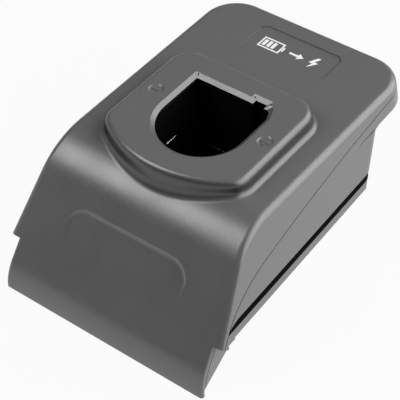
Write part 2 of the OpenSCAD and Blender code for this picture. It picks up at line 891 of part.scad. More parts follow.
module contact_block() {
    x1 = strip_x + 4;
    y0 = strip_y - strip_w / 2 - 2.6;
    y1 = strip_y + strip_w / 2 + 2.6;
    color("#8a2f22")
        difference() {
            translate([0, 0, wall + fit])
                linear_extrude(block_top_z - wall - 2 * fit) {
                    translate([-x1, y0])
                        square([2 * x1, y1 - y0]);
                    translate([sensor_x - strip_w / 2 - 2.6, y1 - 1])
                        square([strip_w + 5.2, sensor_y + 2.4 - y1 + 1]);
                }
            translate([strip_x, strip_y, 0])
                foot_pocket();
            translate([-strip_x, strip_y, 0])
                mirror([1, 0, 0])
                    foot_pocket();
            translate([sensor_x, sensor_y, 0])
                rotate(90)
                    foot_pocket();
            for (x = [-lead_x, lead_x])
                translate([x, y1 - 1.6, strip_z])
                    rotate([-90, 0, 0])
                        cylinder(4, r = lead_r + bite, $fn = round_fn);
        }
}

// Contact strip in its own frame: foot towards -X, blade upright at X = 0 and bowed towards -X
function bow_at(t) = -strip_bow * pow(sin(180 * min(1, t * 1.08)), 2) - 0.35 * t;

module strip(top) {
    n = 14;
    h = top - strip_z;
    // Rolled root, on which the strip rocks
    translate([0, strip_w / 2, strip_z])
        rotate([90, 0, 0])
            cylinder(strip_w, r = strip_t * 0.75, $fn = 24);
    translate([0, strip_w / 2, strip_z])
        rotate([90, 0, 0])
            linear_extrude(strip_w)
                polygon(concat(
                    [[-strip_foot, -strip_t / 2], [strip_t / 2, -strip_t / 2]],
                    [for (i = [2 : n]) [bow_at(i / n) + strip_t / 2, h * i / n]],
                    [for (i = [n : -1 : 2]) [bow_at(i / n) - strip_t / 2, h * i / n]],
                    [[-strip_t / 2, strip_t / 2], [-strip_foot, strip_t / 2]]
                ));
}

module negative_contact() {
    color("#b9a06a")
        translate([-strip_x, strip_y, 0])
            mirror([1, 0, 0])
                strip(strip_top_z);
}

module positive_contact() {
    color("#b9a06a")
        translate([strip_x, strip_y, 0])
            strip(strip_top_z);
}

module sensor_contact() {
    color("#b9a06a")
        translate([sensor_x, sensor_y, 0])
            rotate(90)
                strip(sensor_top_z);
}

// ---------------------------------------------------------------- electronics

module circuit_board() {
    color("#2e5b3a")
        difference() {
            translate([-board_w / 2, board_y, board_z])
                cube([board_w, board_l, board_t]);
            for (x = [-board_xs, board_xs])
                translate([x, board_ys, board_z - over])
                    cylinder(board_t + 2 * over, r = small_screw_d / 2 + bite, $fn = round_fn);
        }
}

module filter_capacitor() {
    color("#20242c")
        translate([-lead_x - 2.4, board_ys + 0.8, board_top_z + fit]) {
            cylinder(1.2, r = cap_d / 2, $fn = round_fn);
            translate([0, 0, 1.1])
                cylinder(0.9, r = cap_d / 2 - 0.4, $fn = round_fn);
            translate([0, 0, 1.9])
                cylinder(cap_l - 1.9, r = cap_d / 2, $fn = round_fn);
        }
}

// The diode and its heat sink stand beside the right-hand board screw
diode_w = 10;
diode_h = 13;
diode_t = 3.4;
tab_t = 1.2;
diode_y = board_y + 4.2;
sink_x = board_xs - small_head_d / 2 - 3.5 - diode_w;
sink_fin_l = 6;

module blocking_diode() {
    color("#1b1b1c")
        translate([sink_x, diode_y, board_top_z + fit + 1])
            difference() {
                union() {
                    cube([diode_w, diode_t, diode_h * 0.66]);
                    translate([0, diode_t - tab_t, 0])
                        cube([diode_w, tab_t, diode_h]);
                }
                translate([diode_w / 2, 8, diode_h * 0.83])
                    rotate([90, 0, 0])
                        cylinder(12, r = 1.5, $fn = round_fn);
            }
}

module heat_sink() {
    color("#a9abad")
        translate([sink_x, diode_y + diode_t + fit, board_top_z + fit]) {
            cube([diode_w, 1.4, diode_h + 1]);
            for (i = [0 : 3])
                translate([i * (diode_w - 1.3) / 3, 0, 0])
                    cube([1.3, sink_fin_l, diode_h + 1]);
        }
}

fuse_x = -fuse_l / 2 - 1;
fuse_y = board_y + fuse_d / 2 + 4;
fuse_z = board_top_z + fit + fuse_d / 2 + 1.2;

module fuse() {
    color("#c8cdd0")
        translate([fuse_x, fuse_y, fuse_z])
            rotate([0, 90, 0]) {
                cylinder(4, r = fuse_d / 2, $fn = round_fn);
                translate([0, 0, 3.9])
                    cylinder(fuse_l - 7.8, r = fuse_d / 2 - 0.3, $fn = round_fn);
                translate([0, 0, fuse_l - 4])
                    cylinder(4, r = fuse_d / 2, $fn = round_fn);
            }
}

module fuse_clips() {
    color("#b8b6b0")
        for (x = [fuse_x + 0.5, fuse_x + fuse_l - 3.5])
            translate([x, fuse_y, board_top_z + fit])
                rotate([90, 0, 90])
                    linear_extrude(3)
                        difference() {
                            translate([-fuse_d / 2 - 0.5, 0])
                                square([fuse_d + 1, fuse_d / 2 + 3.4]);
                            translate([0, fuse_d / 2 + 1.2])
                                circle(fuse_d / 2 + bite, $fn = round_fn);
                            translate([-fuse_d / 2 + 0.4, fuse_d / 2 + 1.2])
                                square([fuse_d - 0.8, fuse_d]);
                        }
}

module coding_resistors() {
    color("#c9b48c")
        for (i = [0 : 2])
            translate([fuse_x - 4.5, board_y + 2 + 3.1 * i, board_top_z + fit + 1.3])
                rotate([0, 90, 0]) {
                    cylinder(0.9, r = 1.2, $fn = 24);
                    translate([0, 0, 0.8])
                        cylinder(2.6, r = 0.95, $fn = 24);
                    translate([0, 0, 3.3])
                        cylinder(0.9, r = 1.2, $fn = 24);
                }
}

// ---------------------------------------------------------------- base plug

// The flange bears on the inside of the rear wall, and the blades end on the board
plug_y0 = rear_wall_at(plug_z - 1) - wall - 1.4 - fit;
blade_y0 = board_y + board_l - 4;
plug_y1 = rear_wall_at(plug_z) + plug_reach;

module base_plug() {
    shroud = 1.5;
    color("#1d1e20")
        difference() {
            union() {
                translate([-plug_w / 2, plug_y0, plug_z - plug_h / 2])
                    cube([plug_w, plug_y1 - plug_y0, plug_h]);
                translate([-plug_w / 2 - 2, plug_y0, plug_z - 1])
                    cube([plug_w + 4, 1.4, plug_h / 2 + 1]);
            }
            translate([-plug_w / 2 + shroud, plug_y1 - plug_reach, plug_z - plug_h / 2 + shroud])
                cube([plug_w - 2 * shroud, plug_reach + over, plug_h - 2 * shroud]);
            for (i = [0 : blade_n - 1])
                translate([(i - (blade_n - 1) / 2) * blade_pitch - blade_t / 2 - bite, plug_y0 - over, blade_z - bite])
                    cube([blade_t + 2 * bite, 40, blade_w + 2 * bite]);
        }
}

module plug_blades() {
    color("#c3bfae")
        for (i = [0 : blade_n - 1])
            translate([(i - (blade_n - 1) / 2) * blade_pitch, 0, blade_z])
                difference() {
                    translate([-blade_t / 2, blade_y0, 0])
                        cube([blade_t, plug_y1 - 1.5 - blade_y0, blade_w]);
                    translate([0, plug_y1 - 4, blade_w / 2])
                        rotate([0, 90, 0])
                            cylinder(2, r = 0.8, center = true, $fn = 16);
                }
}

// ---------------------------------------------------------------- leads

// Lead in a plane of constant X: along the floor, up behind the liner, over and down to the board
module lead(x, y_start) {
    bend = 2;
    hop = (board_y + 2 - lead_y) / 2;
    top = board_top_z + 4;
    translate([x, 0, 0]) {
        translate([0, y_start, strip_z])
            rotate([-90, 0, 0])
                cylinder(lead_y - bend - y_start, r = lead_r, $fn = round_fn);
        translate([0, lead_y - bend, strip_z + bend])
            rotate([0, -90, 0])
                rotate([0, 0, 180])
                    rotate_extrude(angle = -90, $fn = round_fn)
                        translate([bend, 0])
                            circle(lead_r, $fn = round_fn);
        translate([0, lead_y, strip_z + bend])
            cylinder(top - strip_z - bend, r = lead_r, $fn = round_fn);
        translate([0, lead_y + hop, top])
            rotate([0, -90, 0])
                rotate([0, 0, -90])
                    rotate_extrude(angle = 180, $fn = round_fn)
                        translate([hop, 0])
                            circle(lead_r, $fn = round_fn);
        translate([0, lead_y + 2 * hop, board_top_z + fit])
            cylinder(top - board_top_z - fit, r = lead_r, $fn = round_fn);
    }
}

lead_start_y = strip_y + strip_w / 2 + 2;

module negative_lead() {
    color("#111111")
        lead(-lead_x, lead_start_y);
}

module positive_lead() {
    color("#a5231d")
        lead(lead_x, lead_start_y);
}

module sensor_lead() {
    color("#c9a41c")
        lead(sensor_x, sensor_y + 2.4 + fit);
}

// ---------------------------------------------------------------- screws

module case_screws() {
    color("#8d9094")
        for (x = [-case_x, case_x], y = case_ys)
            translate([x, y, case_seat_z])
                screw(screw_d, case_split_z + 8 - case_seat_z, screw_head_d, screw_head_h);
}

module lip_screws() {
    color("#8d9094")
        for (x = [-lip_x, lip_x])
            translate([x, lip_y, lip_z + small_head_h])
                screw(small_screw_d, 5, small_head_d, small_head_h);
}

module liner_screws() {
    color("#8d9094")
        for (x = [-ear_x, ear_x])
            translate([x, ear_y, liner_floor_z])
                mirror([0, 0, 1])
                    screw(small_screw_d, 5, small_head_d, small_head_h);
}

module board_screws() {
    color("#8d9094")
        for (x = [-board_xs, board_xs])
            translate([x, board_ys, board_top_z])
                mirror([0, 0, 1])
                    screw(small_screw_d, 7, small_head_d, small_head_h);
}

upper_shell();
lower_shell();
well_liner();
contact_block();
negative_contact();
positive_contact();
sensor_contact();
circuit_board();
filter_capacitor();
blocking_diode();
heat_sink();
fuse();
fuse_clips();
coding_resistors();
base_plug();
plug_blades();
negative_lead();
positive_lead();
sensor_lead();
case_screws();
lip_screws();
liner_screws();
board_screws();
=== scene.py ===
# %% [markdown]
# # A charging head for stem battery packs
# This lesson dresses a finished CAD part. The part is a slide-on charging head: a sloping two-part
# casing, a raised pad with a D-shaped well, and sprung contact strips down in the well. The CAD model
# gives the sizes and places; here each surface gets its real rounding, grain and finish.

# %% Load the frame
import math

import bmesh
import bpy
import numpy as np
from mathutils import Matrix, Vector


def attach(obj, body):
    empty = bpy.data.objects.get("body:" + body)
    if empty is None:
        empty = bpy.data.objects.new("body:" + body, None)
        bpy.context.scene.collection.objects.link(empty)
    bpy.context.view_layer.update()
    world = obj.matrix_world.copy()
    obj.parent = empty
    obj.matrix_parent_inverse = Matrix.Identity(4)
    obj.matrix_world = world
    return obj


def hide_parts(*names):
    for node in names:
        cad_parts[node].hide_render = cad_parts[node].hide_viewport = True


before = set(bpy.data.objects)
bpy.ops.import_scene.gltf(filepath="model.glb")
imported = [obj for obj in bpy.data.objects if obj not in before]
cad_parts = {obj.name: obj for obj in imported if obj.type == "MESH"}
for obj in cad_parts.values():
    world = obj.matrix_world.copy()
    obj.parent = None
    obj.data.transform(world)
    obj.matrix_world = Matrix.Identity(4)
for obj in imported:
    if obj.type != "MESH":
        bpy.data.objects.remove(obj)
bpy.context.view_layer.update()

MM = 0.001

# %% [markdown]
# ## Where the viewer stands
# The part is looked at from high up on the right, through a long lens, so that parallel edges stay
# nearly parallel. The camera is placed first, because every later choice of rounding and grain is
# judged from there.

# %% Camera
TURN, TILT, ROLL = (math.radians(a) for a in (38.756, 44.498, -2.319))
CAMERA_PLACE = (0.25824, -0.32981, 0.42877)
SENSOR_W, FOCAL_SHARE = 36.0, 1492.13 / 400

back = np.array([math.sin(TURN) * math.cos(TILT), -math.cos(TURN) * math.cos(TILT), math.sin(TILT)])
right = np.array([math.cos(TURN), math.sin(TURN), 0.0])
up = np.cross(back, right)
cam_x = math.cos(ROLL) * right + math.sin(ROLL) * up
cam_y = math.cos(ROLL) * up - math.sin(ROLL) * right
lens_data = bpy.data.cameras.new("camera")
lens_data.sensor_width = SENSOR_W
lens_data.lens = FOCAL_SHARE * SENSOR_W
lens_data.clip_end = 20
camera = bpy.data.objects.new("camera", lens_data)
bpy.context.scene.collection.objects.link(camera)
turned = Matrix(np.column_stack([cam_x, cam_y, back]).tolist()).to_4x4()
camera.matrix_world = Matrix.Translation(Vector(CAMERA_PLACE)) @ turned
bpy.context.scene.camera = camera
print("camera stands", round(camera.location.length * 1000), "mm from the middle of the table plane")

# %% [markdown]
# ## The sizes that make the shape
# The casing is drawn from a handful of numbers: a deck, a bend, a straight apron and a curved foot in
# side view, and side walls that lean out by ten degrees. They are the CAD source's own numbers, so the
# dressed shells lie where the CAD shells lie. Three things are drawn by other numbers: the fillets of
# the pad, the rim of the mouth and the width of the seam.

# %% Sizes in millimetres
DECK_W, DECK_H, BODY_L = 88.0, 56.0, 142.0
FLARE = math.tan(math.radians(10))
SLOPE = math.radians(56)
BEND_R, FOOT_R, EDGE_R = 25.0, 22.0, 2.6
DECK_CORNER_R, REAR_CORNER_R, WALL = 15.0, 8.0, 2.4
LIP_Z, LIP_REACH, LIP_EDGE_R = 45.6, 21.0, 1.6
REAR_LEAN = math.tan(math.radians(27))
SEAM_Z, SEAM_FALL, SEAM_BOW, SEAM_TURN, SEAM_JOIN_Z = 53.05, 0.075, 0.0007, 41.0, 20.0
SEAM_GAP, SEAM_WIDER = 0.25, 0.18
RAIL_Z, RAIL_RISE, RAIL_H = 24.3, math.tan(math.radians(3)), 3.8
SLOT_H, SLOT_DEPTH, SLOT_START, RAIL_STEP = 2.7, 5.0, 14.0, 0.5
SLOT_NOSE = ((8, 1.05), (6.2, 1.03), (4.5, 0.93), (2.8, 0.76), (1.2, 0.52))
FOOT_HALF_W, FOOT_TAPER, FOOT_EDGE_R, SHOULDER_Z, SHOULDER_IN = 47.7, 1.3, 1.2, 20.1, 4.4
CHIN, CHIN_LIFT, TOE, SKIN = math.tan(math.radians(29)), 2.2, 1.6, 2.0
PAD_H, PAD_W, PAD_FRONT_R, PAD_CORNER_R, PAD_MARGIN = 7.0, 65.0, 50.0, 9.0, 11.0
PAD_ROOT_R, PAD_ROOT_H, PAD_EDGE_R, PAD_EDGE_H, PAD_WALL_IN = 2.3, 3.3, 2.55, 3.4, 0.05
WELL_R, WELL_L, COLLAR_H = 19.4, 40.8, 3.8
KEY_W, KEY_X, KEY_D = 8.4, 12.2, 2.1
LINER_OUT, LINER_FIT, COLLAR_T = 2.2, 0.1, 1.5
MOUTH_X, MOUTH_Y, MOUTH_R, MOUTH_REAR_Y = 1.0, -6.0, 18.6, 14.9
MOUTH_CUT_X, MOUTH_CUT_Y = (18.2, 16.6), (9.5, 13.2)
MOUTH_KEY = (8.6, 13.5, 15.2, 17.1)
MOUTH_BEVEL, MOUTH_LIP = 1.7, 0.8
SLITS = ((-17.0, 15.2, 0.5, 0.8), (8.4, 16.9, 0.45, 0.7), (16.3, 16.2, 0.9, 0.35))
SIGNS = ((-24.65, -1.24, ((3.4, 0.85),)), (26.27, -1.64, ((3.6, 0.85), (0.85, 3.6))))
DIMPLE = ((2.5, -0.35), (3.1, -0.02), (4.0, 0.5))
BELLY_HALF_W, BELLY_CORNER_R = 28.0, 6.0
ARCH_W, ARCH_Z, ARCH_D, ARCH_L, ARCH_R, ARCH_OVER = 57.0, 39.2, 0.8, 20.0, 9.0, 4
COVE_W = 2.6
COVE = (COVE_W ** 2 + ARCH_D ** 2) / (2 * ARCH_D)
LABEL_W, LABEL_L, LABEL_D, LABEL_CORNER, LABEL_FROM_REAR = 38.6, 18.0, 0.5, 2.2, 17.8
CASE_BOSS_R, CASE_COLUMN_R, CASE_WELL_R, CASE_HOLE_R = 3.5, 4.3, 2.9, 1.55
LIP_BOSS_R, LIP_WELL_R, LIP_HOLE_R, LIP_SEAT = 2.9, 2.1, 1.15, 1.4

FRONT_Y, REAR_Y = -BODY_L / 2, BODY_L / 2
FOOT_Y = FRONT_Y + FOOT_R
WALL_Y = REAR_Y - LIP_REACH
WELL_REAR_Y = REAR_Y - 55.1
WELL_FRONT_Y = WELL_REAR_Y - WELL_L
WELL_Y = WELL_FRONT_Y + WELL_R
BELLY_FRONT_Y, BELLY_REAR_Y = WELL_FRONT_Y - 22, WELL_REAR_Y + 8
PAD_REAR_Y, PAD_FRONT_Y = WELL_REAR_Y + PAD_MARGIN, WELL_FRONT_Y - PAD_MARGIN
LABEL_Y = REAR_Y - LABEL_FROM_REAR
PAD_TOP = DECK_H + PAD_H
COLLAR_Z = PAD_TOP - COLLAR_H
SLOT_Z = RAIL_Z + RAIL_H
BODY_LOW, FLOOR_Z = RAIL_Z - 8, SLOT_Z - 2
RIB_X = DECK_W / 2 + (DECK_H - SLOT_Z) * FLARE - SLOT_DEPTH - WALL
BEYOND, BODY_CUT_X, CUT_X = 20, 70, 72    # how far the cutting tools reach past the body


def foot_top(d):
    return FOOT_Y - (FOOT_R - d) * math.sin(SLOPE), (FOOT_R - d) * math.cos(SLOPE)


def apron_y(z, d):
    y, low = foot_top(d)
    return y + (z - low) / math.tan(SLOPE)


def bend_end_z(d):
    return DECK_H - BEND_R + (BEND_R - d) * math.cos(SLOPE)


BEND_Y = apron_y(bend_end_z(0), 0) + BEND_R * math.sin(SLOPE)


def front_at(z, d):
    """Front surface of the casing at height z, moved inwards by d."""
    if z >= bend_end_z(d):
        return BEND_Y - math.sqrt(max(0.0, (BEND_R - d) ** 2 - (z - DECK_H + BEND_R) ** 2))
    if z >= foot_top(d)[1]:
        return apron_y(z, d)
    return FOOT_Y - math.sqrt((FOOT_R - d) ** 2 - z * z)


def chin_at(z):
    """Underside of the foot at height z: a short toe, then the sloping chin."""
    return max(FRONT_Y + TOE, FRONT_Y + (z - CHIN_LIFT) / CHIN)


def half_w(z):
    return DECK_W / 2 + (DECK_H - z) * FLARE


def rear_wall_at(z):
    return WALL_Y - (LIP_Z - z) * REAR_LEAN


def rail_at(y):
    return RAIL_Z + (y - rear_wall_at(RAIL_Z)) * RAIL_RISE


def slot_at(y):
    return rail_at(y) + RAIL_H


def seam_at(y):
    return SEAM_Z - SEAM_FALL * (REAR_Y - y) - SEAM_BOW * (REAR_Y - y) ** 2


CASE_X = RIB_X - 4.2
CASE_YS = (WELL_FRONT_Y - 6, WELL_REAR_Y - 5)
CASE_SPLIT_Z = seam_at(CASE_YS[0]) - 2.4
LIP_X, LIP_Y = 30.0, REAR_Y - 10
PLUG_W, PLUG_H = 34.0, 10.0
BOARD_Y = WELL_REAR_Y + KEY_D + LINER_OUT + 1.6
BOARD_L, BOARD_Z, BOARD_T = 14.0, 33.0, 1.6
BOARD_TOP = BOARD_Z + BOARD_T
PLUG_Z = BOARD_TOP + 0.1 + 2.4
print("deck bends down at y =", round(BEND_Y, 2), "mm, apron ends at", [round(v, 2) for v in foot_top(0)])

# %% [markdown]
# ## Tools for solids
# Each shell starts as a stack of level outlines, like the contour lines of a hill, joined into one
# closed skin. Prisms cut it in side view. The cuts use Blender's Manifold solver, which needs closed
# meshes and gives closed meshes back.


# %% Solid helpers
def linked(name, data):
    obj = bpy.data.objects.new(name, data)
    bpy.context.scene.collection.objects.link(obj)
    return obj


def new_object(name, verts, faces):
    mesh = bpy.data.meshes.new(name)
    mesh.from_pydata([tuple(float(c) * MM for c in v) for v in verts], [], faces)
    bm = bmesh.new()
    bm.from_mesh(mesh)
    bmesh.ops.recalc_face_normals(bm, faces=bm.faces)
    bm.to_mesh(mesh)
    bm.free()
    return linked(name, mesh)


def stack(name, rings):
    """One closed solid from level outlines with the same number of points."""
    n = len(rings[0])
    verts = [p for ring in rings for p in ring]
    faces = [
        (i * n + k, i * n + (k + 1) % n, (i + 1) * n + (k + 1) % n, (i + 1) * n + k)
        for i in range(len(rings) - 1)
        for k in range(n)
    ]
    faces.append(tuple(reversed(range(n))))
    faces.append(tuple((len(rings) - 1) * n + k for k in range(n)))
    return new_object(name, verts, faces)


def level(points, z):
    """Plan points, all at the height z."""
    return [(x, y, z) for x, y in points]


def prism(name, points, low, high, axis="z"):
    """A straight prism. axis x: the points are in Y and Z. axis z: the points are in X and Y."""
    if axis == "x":
        return stack(name, [[(x, y, z) for y, z in points] for x in (low, high)])
    return stack(name, [level(points, low), level(points, high)])


def worked_out(obj):
    """The mesh that the object's modifiers give."""
    graph = bpy.context.evaluated_depsgraph_get()
    return bpy.data.meshes.new_from_object(obj.evaluated_get(graph))


def carve(obj, tool, operation="DIFFERENCE"):
    """Cuts obj with tool, or adds tool to it, and throws the tool away."""
    mod = obj.modifiers.new("carve", "BOOLEAN")
    mod.operation, mod.solver, mod.object = operation, "MANIFOLD", tool
    mesh = worked_out(obj)
    obj.modifiers.clear()
    old, obj.data = obj.data, mesh
    bpy.data.meshes.remove(old)
    bpy.data.objects.remove(tool, do_unlink=True)


def arc(cx, cy, r, a0, a1, n):
    """Points on a circle from the angle a0 to a1, in n steps."""
    angles = [math.radians(a0 + (a1 - a0) * i / n) for i in range(n + 1)]
    return [(cx + r * math.cos(a), cy + r * math.sin(a)) for a in angles]


def circle(x, y, r, n):
    return arc(x, y, r, 0, 360 - 360 / n, n - 1)


def box(x0, y0, x1, y1):
    return [(x0, y0), (x1, y0), (x1, y1), (x0, y1)]


def centred_box(x, y, wide, tall):
    return box(x - wide / 2, y - tall / 2, x + wide / 2, y + tall / 2)


def post(obj, x, y, r, low, high):
    carve(obj, prism("post", circle(x, y, r, 60), low, high), "UNION")


def drill(obj, x, y, r, low, high, n=45):
    carve(obj, prism("drill", circle(x, y, r, n), low, high))


def soften(obj, angle=24):
    """Smooth shading that stays crisp at real edges and flat on flat faces."""
    bm = bmesh.new()
    bm.from_mesh(obj.data)
    bmesh.ops.remove_doubles(bm, verts=bm.verts, dist=2e-6)
    bmesh.ops.dissolve_degenerate(bm, edges=bm.edges, dist=2e-6)
    bm.to_mesh(obj.data)
    bm.free()
    for face in obj.data.polygons:
        face.use_smooth = True
    obj.data.set_sharp_from_angle(angle=math.radians(angle))
    mod = obj.modifiers.new("even shading", "WEIGHTED_NORMAL")
    mod.keep_sharp = True
    mod.weight = 80
    mesh = worked_out(obj)
    obj.modifiers.clear()
    obj.data = mesh


# %% [markdown]
# ## The outside form
# Seen from above each outline is a rounded rectangle whose front edge follows the side profile. The
# rounding between the top and the sides is a quarter circle that rides along with the profile, so it
# keeps its radius over the deck, round the bend and down the apron.


# %% Outlines of the casing
EDGE_STEPS, CORNER_STEPS, WALL_STEPS, LIP_STEPS, BEND_STEPS, FOOT_STEPS = 9, 18, 12, 6, 40, 14
SEAM_STEPS, TURN_STEPS = 40, 24
LEAST_R, LEAST_DROP, HAIR = 0.6, 0.004, 0.001


def mirrored(half):
    return half + [(-x, y, z) for x, y, z in reversed(half)]


def outline(z, d, rear, corner, pull=0.0, limit=None):
    """One outline at height z, moved inwards by d. pull rounds it off where it meets the lip."""
    r = max(EDGE_R - d, LEAST_R)
    drop = max(LEAST_DROP, min(r, DECK_H - d - z))
    stop = math.acos(1 - drop / r)
    w = half_w(z) - d
    if limit is not None:
        w = min(w, limit)
    shrink = r * (1 - math.sin(stop))
    c = corner - d
    half = []
    for i in range(EDGE_STEPS + 1):
        a = stop * i / EDGE_STEPS
        front = front_at(min(z + r * (1 - math.cos(a)), DECK_H - d), d)
        half.append((w - r + r * math.sin(a), front, z))
    half.append((w - shrink, min(WALL_Y, rear) - c - 2, z))
    k = c - shrink - pull
    for j in range(CORNER_STEPS + 1):
        a = math.pi / 2 * j / CORNER_STEPS
        half.append((w - c + k * math.cos(a), rear - d - c + k * math.sin(a), z))
    return mirrored(half)


def body_outlines(d, low, limit=None):
    """All outlines from low up to the deck, moved inwards by d: leaning rear wall, then the lip."""
    rings = []
    knee, lip = bend_end_z(d), LIP_Z + d
    shelf = slot_at(WALL_Y) + SLOT_H + WALL
    lower = [low + (lip - low) * i / WALL_STEPS for i in range(WALL_STEPS + 1)]
    if limit is not None:
        lower = [z for z in lower if abs(z - shelf) > 1] + [shelf, shelf + HAIR]
    if low < knee < lip:
        lower = [z for z in lower if abs(z - knee) > 0.5] + [knee]
    for z in sorted(lower):
        narrow = limit if limit is not None and z <= shelf else None
        rings.append(outline(z, d, rear_wall_at(z), REAR_CORNER_R, limit=narrow))
    edge = max(LIP_EDGE_R - d, 0.3)
    for i in range(LIP_STEPS + 1):
        t = math.pi / 2 * i / LIP_STEPS
        z, pull = lip + HAIR + edge * (1 - math.cos(t)), edge * (1 - math.sin(t))
        rings.append(outline(z, d, REAR_Y, DECK_CORNER_R, pull=pull))
    r = BEND_R - d
    first = math.acos(min(1.0, (lip + edge + 0.1 - DECK_H + BEND_R) / r))
    for i in range(BEND_STEPS + 1):
        z = DECK_H - BEND_R + r * math.cos(first * (1 - i / BEND_STEPS))
        rings.append(outline(z, d, REAR_Y, DECK_CORNER_R))
    return rings


def foot_outline(z, front_in):
    w, r = FOOT_HALF_W - FOOT_TAPER * z / SHOULDER_Z, FOOT_EDGE_R
    front = front_at(z, 0) + front_in
    angles = np.linspace(0, math.pi / 2, 6)
    half = [(w - r + r * math.sin(a), front + r * (1 - math.cos(a)), z) for a in angles]
    return mirrored(half + [(w, max(chin_at(z), front + TOE), z)])


def seam_line():
    """The seam in Y and Z: side curve, a smooth turn, then the back of the front skin."""
    y0 = FRONT_Y + SEAM_TURN
    z0 = seam_at(y0)
    m = SEAM_FALL + 2 * SEAM_BOW * (REAR_Y - y0)
    k = math.tan(SLOPE)
    top_y, top_z = foot_top(SKIN)
    y1 = (z0 - m * y0 - top_z + top_y * k) / (k - m)
    z1 = z0 + m * (y1 - y0)
    y2, z2 = apron_y(SEAM_JOIN_Z, SKIN), SEAM_JOIN_Z
    side_ys = [REAR_Y + (y0 - REAR_Y) * i / SEAM_STEPS for i in range(SEAM_STEPS)]
    points = [(REAR_Y + BEYOND, seam_at(REAR_Y))] + [(y, seam_at(y)) for y in side_ys]
    for i in range(TURN_STEPS):
        t = i / TURN_STEPS
        a, b, c = (1 - t) ** 2, 2 * t * (1 - t), t * t
        points.append((a * y0 + b * y1 + c * y2, a * z0 + b * z1 + c * z2))
    points.append((y2, z2))
    foot_zs = [top_z * (1 - i / FOOT_STEPS) for i in range(FOOT_STEPS + 1)]
    points += [(front_at(z, SKIN), z) for z in foot_zs]
    points.append((front_at(0, SKIN), -BEYOND))
    return points


def profile_keep():
    """Side outline of the wide body: above the rails and behind the shoulder."""
    y0, z0 = front_at(SHOULDER_Z, 0), SHOULDER_Z
    y1, z1 = y0 + math.sin(SLOPE) * SHOULDER_IN, z0 - math.cos(SLOPE) * SHOULDER_IN
    far_y, end_y = FRONT_Y - 30, REAR_Y + BEYOND
    return [
        (y0, z0), (y1, z1), (y1 + 0.5, rail_at(y1 + 0.5)), (end_y, rail_at(end_y)),
        (end_y, DECK_H + BEYOND), (far_y, DECK_H + BEYOND),
        (far_y, z0 - (far_y - y0) * math.cos(SLOPE) / math.sin(SLOPE)),
    ]


def outer_form(name):
    body = stack(name, body_outlines(0, BODY_LOW))
    carve(body, prism("keep", profile_keep(), -BODY_CUT_X, BODY_CUT_X, "x"), "INTERSECT")
    round_zs = [FOOT_R * math.sin((math.pi / 2 - SLOPE) * i / FOOT_STEPS) for i in range(FOOT_STEPS + 1)]
    rings = [foot_outline(z, 0.02) for z in round_zs + [SHOULDER_Z]]
    carve(body, stack("foot", rings + [foot_outline(SHOULDER_Z + 1.5, 0.6)]), "UNION")
    return body


def belly_outline(d):
    w, r = BELLY_HALF_W - d, BELLY_CORNER_R - d
    y0, y1 = BELLY_FRONT_Y + d, BELLY_REAR_Y - d
    pts = arc(w - r, y0 + r, r, -90, 0, 10) + arc(w - r, y1 - r, r, 0, 90, 10)
    return pts + arc(-w + r, y1 - r, r, 90, 180, 10) + arc(-w + r, y0 + r, r, 180, 270, 10)


print("outlines that make the outside form:", len(body_outlines(0, BODY_LOW)))

# %% [markdown]
# ## The raised pad and the mouth
# The pad carries the mouth of the well. Its front edge is one wide arc, its corners are rounded, and a
# hollow fillet joins it to the deck. Over the bend the fillet follows the deck down, as it would if a
# mould maker had run a ball cutter along the joint.


# %% Outlines of the pad and the mouth
def deck_at(y):
    if y >= BEND_Y:
        return DECK_H
    return DECK_H - BEND_R + math.sqrt(max(0.0, BEND_R ** 2 - (BEND_Y - y) ** 2))


def pad_outline(z, d, follow):
    """The outline, moved inwards by d. With follow at 1 it sinks with the deck over the bend."""
    w, rear_r = PAD_W / 2, PAD_CORNER_R + 1
    cy = PAD_FRONT_Y + PAD_FRONT_R
    cx = w - PAD_CORNER_R
    ccy = cy - math.sqrt((PAD_FRONT_R - PAD_CORNER_R) ** 2 - cx * cx)
    meet = math.degrees(math.atan2(ccy - cy, cx))
    half = arc(0, cy, PAD_FRONT_R - d, -90, meet, 26)[:-1]
    half += arc(cx, ccy, PAD_CORNER_R - d, meet, 0, 16)
    half += arc(w - rear_r, PAD_REAR_Y - rear_r, rear_r - d, 0, 90, 20)
    half = [(x, y, z - follow * (DECK_H - deck_at(y))) for x, y in half]
    return half + [(-x, y, h) for x, y, h in reversed(half[1:])]


def pad_form(name):
    """The hollow fillet rises from the deck, then the edge rounds over to the level top."""
    rings = [pad_outline(DECK_H - 1, -PAD_ROOT_R, 1)]
    quarter = [math.pi / 2 * i / 12 for i in range(13)]
    for a in quarter:
        z, inset = DECK_H + PAD_ROOT_H * (1 - math.cos(a)), -PAD_ROOT_R * (1 - math.sin(a))
        rings.append(pad_outline(z, inset, 1))
    for a in quarter:
        z, inset = PAD_TOP - PAD_EDGE_H * (1 - math.sin(a)), PAD_WALL_IN + PAD_EDGE_R * (1 - math.cos(a))
        rings.append(pad_outline(z, inset, 0))
    return stack(name, rings)


def well_outline(g):
    """The D of the well, grown by g."""
    r, rear = WELL_R + g, WELL_REAR_Y + g
    return arc(0, WELL_Y, r, 180, 360, 72) + [(r, rear), (-r, rear)]


def key_outline(g):
    x0, x1 = KEY_X - KEY_W / 2 - g, KEY_X + KEY_W / 2 + g
    return box(x0, WELL_REAR_Y - 1, x1, WELL_REAR_Y + KEY_D + g)


def mouth_outline(g):
    """The rim sits a little inside the liner; its right rear corner is cut off by a slope."""
    r, rear = MOUTH_R + g, MOUTH_REAR_Y + g
    cut = [(MOUTH_X + r, MOUTH_CUT_Y[0]), (MOUTH_CUT_X[0] + g, MOUTH_CUT_Y[1]), (MOUTH_CUT_X[1] + g, rear)]
    return arc(MOUTH_X, MOUTH_Y, r, 180, 360, 72) + cut + [(MOUTH_X - r, rear)]


def mouth_key(g):
    x0, y0, x1, y1 = MOUTH_KEY
    return box(x0 - g, y0, x1 + g, y1 + g)


